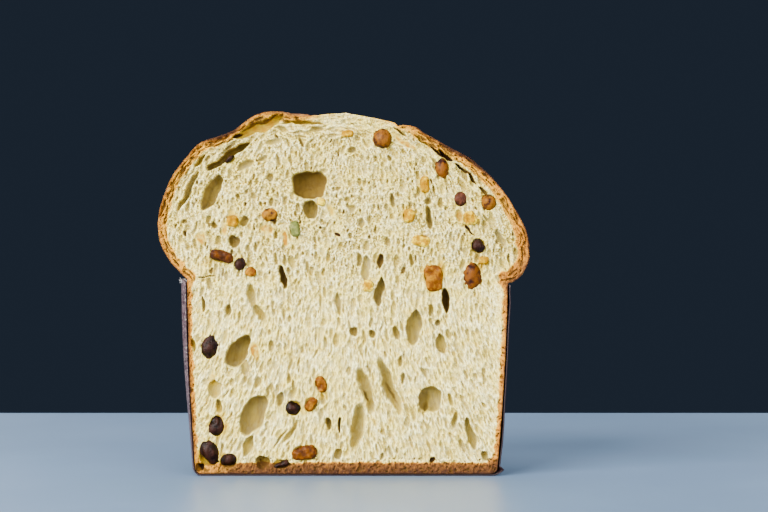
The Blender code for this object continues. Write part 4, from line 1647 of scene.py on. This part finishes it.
    @staticmethod
    def soft_noise(points: np.ndarray, size: float, shift: tuple[float, float, float]) -> np.ndarray:
        """Returns the noise that shaped the solid's crown, at each point."""
        scaled = (points / size + shift).tolist()
        return np.array([noise.noise(Vector(point)) for point in scaled])

    @staticmethod
    def fine_relief(points: np.ndarray, rise: np.ndarray) -> tuple[np.ndarray, np.ndarray]:
        """Returns the height of the crust's wrinkles and of its blisters, in millimetres."""
        flattened = points * (1.0, 1.0, 1.9)
        folds = 1 - np.abs(LatticeNoise(Seed.WRINKLES).at(flattened, 9.0, octaves=2)) * 3.2
        wrinkle = 0.42 * np.clip(folds, -0.6, 1) * ease(rise / 0.08)
        spots = LatticeNoise(Seed.BLISTERS).at(points, 3.4, octaves=2)
        blister = 0.75 * ease((spots - 0.20) / 0.30)
        return wrinkle, blister

    @staticmethod
    def toast(points: np.ndarray, rise: np.ndarray, opened: np.ndarray, lip: np.ndarray,
              wrinkle: np.ndarray) -> np.ndarray:
        """Returns how dark the crust is baked, from 0 to 1.

        Args:
            points: The crust's points.
            rise: Share of the way from the neck to the top.
            opened: Where the score opened the dough.
            lip: The score's raised edge.
            wrinkle: Height of the wrinkles.

        Returns:
            One number for each point.
        """
        dark = 0.38 + 0.24 * ease((rise - 0.15) / 0.4)
        dark = dark + 0.22 * lip - 0.42 * opened + 0.14 * wrinkle
        dark += 0.12 * LatticeNoise(Seed.TOAST).at(points, 34.0, octaves=2)
        x, back, z = points[:, 0], points[:, 1] - CUT_Y, points[:, 2]
        pale = pale_top(x, z) * np.exp(-((back / 16) ** 2))
        dark += 0.2 * ease(1 - back / 2.5) + scorched(x, z, back) - 0.1 * (1 - ease(rise / 0.10))
        return np.clip(dark * (1 - 0.8 * pale), 0, 1)

    def close(self) -> None:
        """Merges the points on the axis and closes the front with a recess, in edit mode."""
        bpy.ops.object.mode_set(mode="EDIT")
        bpy.ops.mesh.select_all(action="SELECT")
        bpy.ops.mesh.remove_doubles(threshold=0.00002)
        select_open_edges()
        middle = (AXIS_X, CUT_Y, 100.0)
        draw_in((0, self.slope_depth, 0), self.recess_inset, middle)
        draw_in((0, self.recess, 0), self.recess_taper, middle)
        bpy.ops.mesh.edge_face_add()


@dataclass
class PaperCase:
    """The baking paper: foot and wall of one sheet, its cut ends sprung from the loaf."""

    paper: float = 0.7
    gap: float = 0.2
    top: dict[Side, float] = field(default_factory=lambda: {Side.LEFT: 107.3, Side.RIGHT: 105.5})
    flare: dict[Side, float] = field(default_factory=lambda: {Side.LEFT: 3.5, Side.RIGHT: 0.5})
    flare_reach: float = math.radians(24)
    tuck: float = 3.1
    tuck_reach: float = 6.0
    turns: int = 560
    foot_rows: int = 5
    bend_rows: int = 8
    wall_rows: int = 66
    flutes: int = 132
    ear: float = 2.8
    ear_reach: float = 4.0
    ear_heights: tuple[float, float, float] = (0.6, 3.6, 4.8)
    round_radius: float = 88.0

    def profile(self, side: Side) -> np.ndarray:
        """Returns one side of the paper's inside, from the foot's middle to its top edge."""
        half = OUTLINES[side]
        foot = half.foot(self.foot_rows, self.bend_rows)
        round_share = (half.foot_round + self.gap) / half.foot_round
        corner_x = half.foot_radius - half.foot_round
        inner = foot.copy()
        bend = foot[:, 0] > corner_x
        inner[bend, 0] = corner_x + (foot[bend, 0] - corner_x) * round_share
        inner[:, 1] = self.paper + (foot[:, 1] - half.foot_z) * (
            (half.foot_z + half.foot_round - self.paper) / half.foot_round)
        share = np.linspace(0, 1, self.wall_rows + 1)[1:]
        wall = np.column_stack([
            mix(half.foot_radius, half.neck_radius, share) + self.gap
            + half.bulge * np.sin(math.pi * share),
            mix(half.foot_z + half.foot_round, self.top[side], share),
        ])
        return np.vstack([inner, wall])

    def build(self, material: bpy.types.Material) -> bpy.types.Object:
        """Builds the paper case.

        Args:
            material: The paper's material.

        Returns:
            The piece.
        """
        left, right = self.profile(Side.LEFT), self.profile(Side.RIGHT)
        rows = len(left) - 1
        piece = start_grid("paper_wall", self.turns, rows)
        square = places(piece.data)
        turn = (square[:, 0] + 0.5) * math.pi
        row = np.rint((square[:, 1] + 0.5) * rows).astype(int)
        share = ((1 - np.cos(turn)) / 2)[:, None]
        flat = mix(right[row], left[row], share)
        wall = ease((flat[:, 0] / OUTLINES[Side.LEFT].foot_radius - 0.9) / 0.1)
        radius = flat[:, 0] + wall * (self.spring(turn, flat) + self.creases(turn, flat))
        tip = self.torn_tip(turn, flat)
        radius += 0.5 * tip
        points = turned(turn, radius, flat[:, 1] + self.torn_edge(turn, flat) + tip)
        move_to(piece.data, points * MM)
        tell(piece.data, "rib", wall * (0.5 + 0.5 * np.sin(turn * self.flutes)))
        tell(piece.data, "worn", self.worn(turn, flat))
        tell(piece.data, "torn", 0.7 * ease((tip - 1.0) / 1.6))
        # Painted shade on the paper's right cut end and foot: 0 there, 1 elsewhere.
        tell(piece.data, "clear_of_painted_shade", ease(turn / 0.15) * ease(flat[:, 1] / 16.0))
        bpy.ops.object.mode_set(mode="EDIT")
        bpy.ops.mesh.select_all(action="SELECT")
        bpy.ops.mesh.remove_doubles(threshold=0.00002)
        bpy.ops.object.mode_set(mode="OBJECT")
        thick = piece.modifiers.new("paper", "SOLIDIFY")
        thick.thickness = self.paper * MM
        thick.offset = 1.0
        bpy.ops.object.modifier_apply(modifier=thick.name)
        piece.data.materials.append(material)
        hand_over(piece, ["paper_case"])
        return piece

    def spring(self, turn: np.ndarray, flat: np.ndarray) -> np.ndarray:
        """Finds how far the cut ends stand off the loaf, with the curl of the left edge.

        Args:
            turn: Each point's angle about the axis.
            flat: Each point's radius and height.

        Returns:
            One length in millimetres for each point.
        """
        rise = ease((flat[:, 1] - 4) / 90)
        left = ease(1 - (math.pi - turn) / self.flare_reach) * self.flare[Side.LEFT]
        right = ease(1 - turn / self.flare_reach) * self.flare[Side.RIGHT]
        from_edge = (math.pi - turn) * flat[:, 0]
        tuck = self.tuck * np.clip(1 - from_edge / self.tuck_reach, 0, 1) ** 1.5
        ripple = 0.45 * np.sin(flat[:, 1] / 13.0) * ease(1 - turn / 0.12) * ease(flat[:, 1] / 20)
        spring = (0.35 + 0.65 * rise) * (left - tuck)
        ear = self.ear * ease(1 - turn * flat[:, 0] / self.ear_reach)
        ear *= np.interp(flat[:, 1], self.ear_heights, (0, 1, 0))
        return spring + right + ear + np.clip(ripple, 0, None) * ease((102 - flat[:, 1]) / 8)

    def creases(self, turn: np.ndarray, flat: np.ndarray) -> np.ndarray:
        """Shapes the small waves and creases of the wall.

        Args:
            turn: Each point's angle about the axis.
            flat: Each point's radius and height.

        Returns:
            How far each point stands out, in millimetres.
        """
        on_wall = np.column_stack([turn * self.round_radius, np.zeros(len(turn)), flat[:, 1] * 0.45])
        ends = 0.25 + 0.75 * ease(np.minimum(turn, math.pi - turn) / 0.2)
        wave = 0.28 * LatticeNoise(Seed.PAPER_WAVES).at(on_wall, 17.0, octaves=2)
        fold = 0.22 * np.clip(1 - np.abs(LatticeNoise(Seed.PAPER_FOLDS).at(on_wall, 26.0)) * 12, 0, 1)
        flute = 0.07 * np.sin(turn * self.flutes)
        return (np.clip(wave + 0.28, 0, None) + fold) * ends + flute

    def torn_edge(self, turn: np.ndarray, flat: np.ndarray) -> np.ndarray:
        """Returns how much the top edge rises or dips, in millimetres."""
        near_top = ease((flat[:, 1] - 99) / 7)
        on_edge = np.column_stack([turn * self.round_radius, np.zeros(len(turn)), np.zeros(len(turn))])
        return near_top * (0.35 * LatticeNoise(Seed.PAPER_EDGE).at(on_edge, 7.0, octaves=3) - 0.25)

    @staticmethod
    def torn_tip(turn: np.ndarray, flat: np.ndarray) -> np.ndarray:
        """Finds how far the left end's top corner is torn up into ragged fibres.

        Args:
            turn: Each point's angle about the axis.
            flat: Each point's radius and height.

        Returns:
            One height in millimetres for each point.
        """
        from_edge = (math.pi - turn) * flat[:, 0]
        on_edge = np.column_stack([from_edge, flat[:, 1], np.zeros(len(turn))])
        jag = np.clip(1.5 + 2.4 * LatticeNoise(Seed.PAPER_TIP).at(on_edge, 0.9), 0, None)
        return ease(1 - from_edge / 4.5) * ease((flat[:, 1] - 104.5) / 2.8) * jag

    def worn(self, turn: np.ndarray, flat: np.ndarray) -> np.ndarray:
        """Returns where the paper is painted paler: light painted on the left cut end, with worn specks,
        less towards the bottom, and wear along the top edge and in a band near the foot.
        """
        # Painted light on the left cut end, fading towards the bottom.
        ends = ease(1 - (math.pi - turn) / 0.09) * mix(0.15, 1.0, ease((flat[:, 1] - 12) / 50))
        edge = 0.45 * ease((flat[:, 1] - 104.4) / 1.8)
        foot = 0.25 * np.exp(-(((flat[:, 1] - 4.5) / 2.2) ** 2)) * ease(turn / 0.3)
        return np.clip(np.maximum(np.maximum(ends, edge), foot), 0, 1)


@dataclass
class TornFibres:
    """Short stiff fibres where the left end of the paper is torn."""

    corner: tuple[float, float, float] = (-88.6, 1.6, 107.0)
    spread: tuple[float, float, float] = (1.7, 1.2, 0.7)
    ways: tuple[tuple[float, float], ...] = ((-0.9, 0.5), (-0.5, 0.2), (0.3, 1.0))
    number: int = 16
    longest: float = 2.8
    thickness: float = 0.16
    seed: int = 71

    def build(self, material: bpy.types.Material) -> bpy.types.Object:
        """Builds the fibres as one piece.

        Args:
            material: Their material.

        Returns:
            The piece.
        """
        rng = np.random.default_rng(self.seed)
        deselect_all()
        for _ in range(self.number):
            root = np.array(self.corner) + rng.uniform(-1, 1, 3) * self.spread + (0, CUT_Y, 0)
            way = Vector([rng.uniform(low, high) for low, high in self.ways]).normalized()
            length = self.longest * rng.uniform(0.45, 1.0)
            bpy.ops.mesh.primitive_cone_add(
                vertices=6, radius1=self.thickness * MM, radius2=0.3 * self.thickness * MM,
                depth=length * MM, location=(Vector(root) + way * length * 0.4) * MM,
                rotation=way.to_track_quat("Z", "Y").to_euler())
        tufts = [item for item in bpy.context.scene.objects if item.name.startswith("Cone")]
        for tuft in tufts:
            tuft.select_set(True)
        piece = bpy.context.view_layer.objects.active = tufts[0]
        bpy.ops.object.join()
        bpy.ops.object.transform_apply(location=True, rotation=True, scale=True)
        piece.name = piece.data.name = "torn_fibres"
        for name, share in (("worn", 1.0), ("torn", 0.75), ("rib", 0.0), ("clear_of_painted_shade", 1.0)):
            tell(piece.data, name, np.full(len(piece.data.vertices), share))
        piece.data.materials.append(material)
        hand_over(piece, ["paper_case"])
        return piece


@dataclass
class Fruit:
    """The raisins and candied pieces, each grown from the solid in its node."""

    swell: float = 1.05
    seed: int = 61

    @staticmethod
    def kinds() -> dict[str, FruitKind]:
        """Returns the kind of each fruit node, by the slot that the record gives it."""
        slots = {kind.value: kind for kind in FruitKind}
        listed = frame["record"]["subparts"]
        return {part["node"]: slots[part["material_slot"]] for part in listed
                if part["material_slot"] in slots}

    def build(self, node: str, kind: FruitKind, number: int,
              material: bpy.types.Material) -> bpy.types.Object:
        """Builds one piece of fruit.

        Args:
            node: Its CAD node.
            kind: What it is.
            number: Its number, which varies its creases.
            material: Its material.

        Returns:
            The piece.
        """
        deselect_all()
        mesh = frame["nodes"][node].data.copy()
        mesh.materials.clear()
        piece = bpy.data.objects.new(f"{node}_piece", mesh)
        bpy.context.scene.collection.objects.link(piece)
        piece.select_set(True)
        bpy.context.view_layer.objects.active = piece
        size = np.ptp(places(mesh), axis=0)
        bpy.ops.object.mode_set(mode="EDIT")
        bpy.ops.mesh.select_all(action="SELECT")
        bpy.ops.mesh.remove_doubles(threshold=0.00001)
        bpy.ops.object.mode_set(mode="OBJECT")
        dried = kind in DRYNESS
        smooth = piece.modifiers.new("smooth", "SUBSURF")
        smooth.subdivision_type = "SIMPLE" if "citron" in kind.value else "CATMULL_CLARK"
        smooth.levels = smooth.render_levels = 2 if dried else 3
        bpy.ops.object.modifier_apply(modifier=smooth.name)
        points = places(mesh)
        middle = (points.max(axis=0) + points.min(axis=0)) / 2
        points = middle + (points - middle) * size / np.ptp(points, axis=0) * (self.swell, 1, self.swell)
        move_to(mesh, points)
        height, crease = (self.wrinkled(points / MM, number, size / MM, DRYNESS[kind]) if dried
                          else self.candied(points / MM, number, size / MM))
        points = points + normals(mesh) * height[:, None] * MM
        move_to(mesh, points)
        tell(mesh, "crease", crease)
        tell(mesh, "ripe", np.full(len(points), RIPENESS.get(node, USUAL_RIPENESS)))
        mesh.materials.append(material)
        hand_over(piece, [node])
        return piece

    def wrinkled(self, points: np.ndarray, number: int, size: np.ndarray,
                 dryness: float) -> tuple[np.ndarray, np.ndarray]:
        """Creases a raisin.

        Args:
            points: Its points in millimetres.
            number: Its number.
            size: Its size in millimetres.
            dryness: How deep its creases are, from 0 to 1.

        Returns:
            How far each point moves out, in millimetres, and how raised it is, from 0 to 1.
        """
        small = float(size.min())
        drawn = (points - points.mean(axis=0)) * (1.0, 1.0, 0.6) + 31.0 * number
        folds = np.abs(LatticeNoise(self.seed).at(drawn, 0.55 * small, octaves=2))
        fine = np.abs(LatticeNoise(self.seed + 1).at(drawn, 0.2 * small))
        raised = np.clip(2.2 * folds + 0.3 * fine, 0, 1)
        dents = LatticeNoise(self.seed + 2).at(drawn, 0.7 * small)
        middle = np.hypot(*((points - points.mean(axis=0)) / (size / 2))[:, ::2].T)
        raised = mix(np.clip(1.0 - 0.6 * middle**2 + 0.4 * dents, 0, 1), raised, 0.7 * dryness)
        return small * (0.14 * dryness * (raised - 0.6) + 0.18 * dents), raised

    def candied(self, points: np.ndarray, number: int,
                size: np.ndarray) -> tuple[np.ndarray, np.ndarray]:
        """Softens and dents a candied piece.

        Args:
            points: Its points in millimetres.
            number: Its number.
            size: Its size in millimetres.

        Returns:
            How far each point moves out, in millimetres, and how raised it is, from 0 to 1.
        """
        small = float(size.min())
        drawn = points - points.mean(axis=0) + 31.0 * number
        lumps = LatticeNoise(self.seed + 3).at(drawn, 0.5 * small, octaves=3)
        return small * 0.16 * lumps, np.clip(0.5 + 0.7 * lumps, 0, 1)


# The studio

@dataclass
class Studio:
    """A pale table top before a dark room, a soft light from the left and the camera."""

    distance: float = 1000.0
    eye_x: float = 22.3
    eye_z: float = 121.3
    lens: float = 85.0
    sensor: float = 36.0
    table_size: tuple[float, float, float] = (3600.0, 2200.0, 40.0)
    table_back: float = 350.0
    stone: Colour = srgb(97, 119, 145)
    stone_cloud: Colour = srgb(91, 113, 139)
    room: Colour = srgb(32, 40, 52)

    def camera(self) -> None:
        """Sets the camera level before the cut face, a little right of its middle."""
        data = bpy.data.cameras.new("camera")
        data.lens, data.sensor_width = self.lens, self.sensor
        data.clip_start, data.clip_end = 0.05, 20.0
        camera = bpy.data.objects.new("camera", data)
        camera.location = (self.eye_x * MM, (CUT_Y - self.distance) * MM, self.eye_z * MM)
        camera.rotation_euler = (math.pi / 2, 0.0, 0.0)
        bpy.context.scene.collection.objects.link(camera)
        bpy.context.scene.camera = camera

    def table(self) -> None:
        """Adds the pale table top."""
        deselect_all()
        bpy.ops.mesh.primitive_cube_add(size=1.0)
        top = bpy.context.object
        top.name = "table_top"
        _, depth, thick = self.table_size
        points = places(top.data) * self.table_size
        points += (0.0, self.table_back - depth / 2, -thick / 2)
        move_to(top.data, points * MM)
        g = Graph("pale_stone")
        colour = g.blend(g.spread(g.noise(140, 4, 0.6), 0.3, 0.7), self.stone, self.stone_cloud)
        top.data.materials.append(g.finish(colour, 0.38, Specular_IOR_Level=0.4))

    def lamp(self, name: str, place: tuple[float, float, float], size: float, power: float,
             tint: tuple[float, float, float]) -> None:
        """Adds a soft square light aimed at the loaf.

        Args:
            name: Its name.
            place: Where it stands, in metres.
            size: Its side in metres.
            power: Its power in watts.
            tint: Its colour.
        """
        data = bpy.data.lights.new(name, "AREA")
        data.shape, data.size, data.energy, data.color = "SQUARE", size, power, tint
        lamp = bpy.data.objects.new(name, data)
        lamp.location = place
        aim = Vector((0.0, CUT_Y * MM, 0.1)) - Vector(place)
        lamp.rotation_euler = aim.to_track_quat("-Z", "Y").to_euler()
        bpy.context.scene.collection.objects.link(lamp)

    def lights(self) -> None:
        """Lights the loaf softly from the left front, with weaker light all round."""
        self.lamp("window", (-1.15, -1.35, 0.85), 1.5, 182, (1.0, 0.99, 0.97))
        self.lamp("front_fill", (0.9, -1.7, 0.9), 1.6, 56, (0.97, 0.98, 1.0))
        self.lamp("top_fill", (0.1, 0.1, 1.7), 1.4, 30, (1.0, 1.0, 1.0))
        self.lamp("back_left", (-1.2, 1.3, 0.9), 1.2, 24, (1.0, 1.0, 1.0))
        self.lamp("back_right", (1.3, 1.2, 0.8), 1.2, 20, (1.0, 1.0, 1.0))
        world = bpy.data.worlds.new("room")
        world.use_nodes = True
        background = world.node_tree.nodes["Background"]
        background.inputs["Color"].default_value = self.room
        background.inputs["Strength"].default_value = 1.0
        bpy.context.scene.world = world

    def build(self) -> None:
        """Builds the studio."""
        self.table()
        self.lights()
        self.camera()


def main() -> None:
    """Builds the object's pieces in order, and the studio round them."""
    logging.basicConfig(level=logging.INFO, format="%(name)s: %(message)s")
    kinds = Fruit.kinds()
    wear = RimWear()
    outline = CutOutline(wear)
    sponge = Sponge(FaceMap(outline))
    sponge.press_hollows()
    sponge.press_seats(kinds)
    sponge.press_slits()
    sponge.press_pits()
    sponge.press_pores()
    LOG.info("relief: pressed")
    crumb = CrumbFinish().material()
    CrumbFace(outline, sponge).build(crumb)
    Crust(wear).build(CrustFinish().material())
    paper = PaperFinish().material()
    PaperCase().build(paper)
    TornFibres().build(paper)
    finishes = {kind: finish.material() for kind, finish in FRUIT_FINISHES.items()}
    fruit = Fruit()
    for number, (node, kind) in enumerate(kinds.items()):
        fruit.build(node, kind, number, finishes[kind])
    Studio().build()


if __name__ == "__main__":
    main()
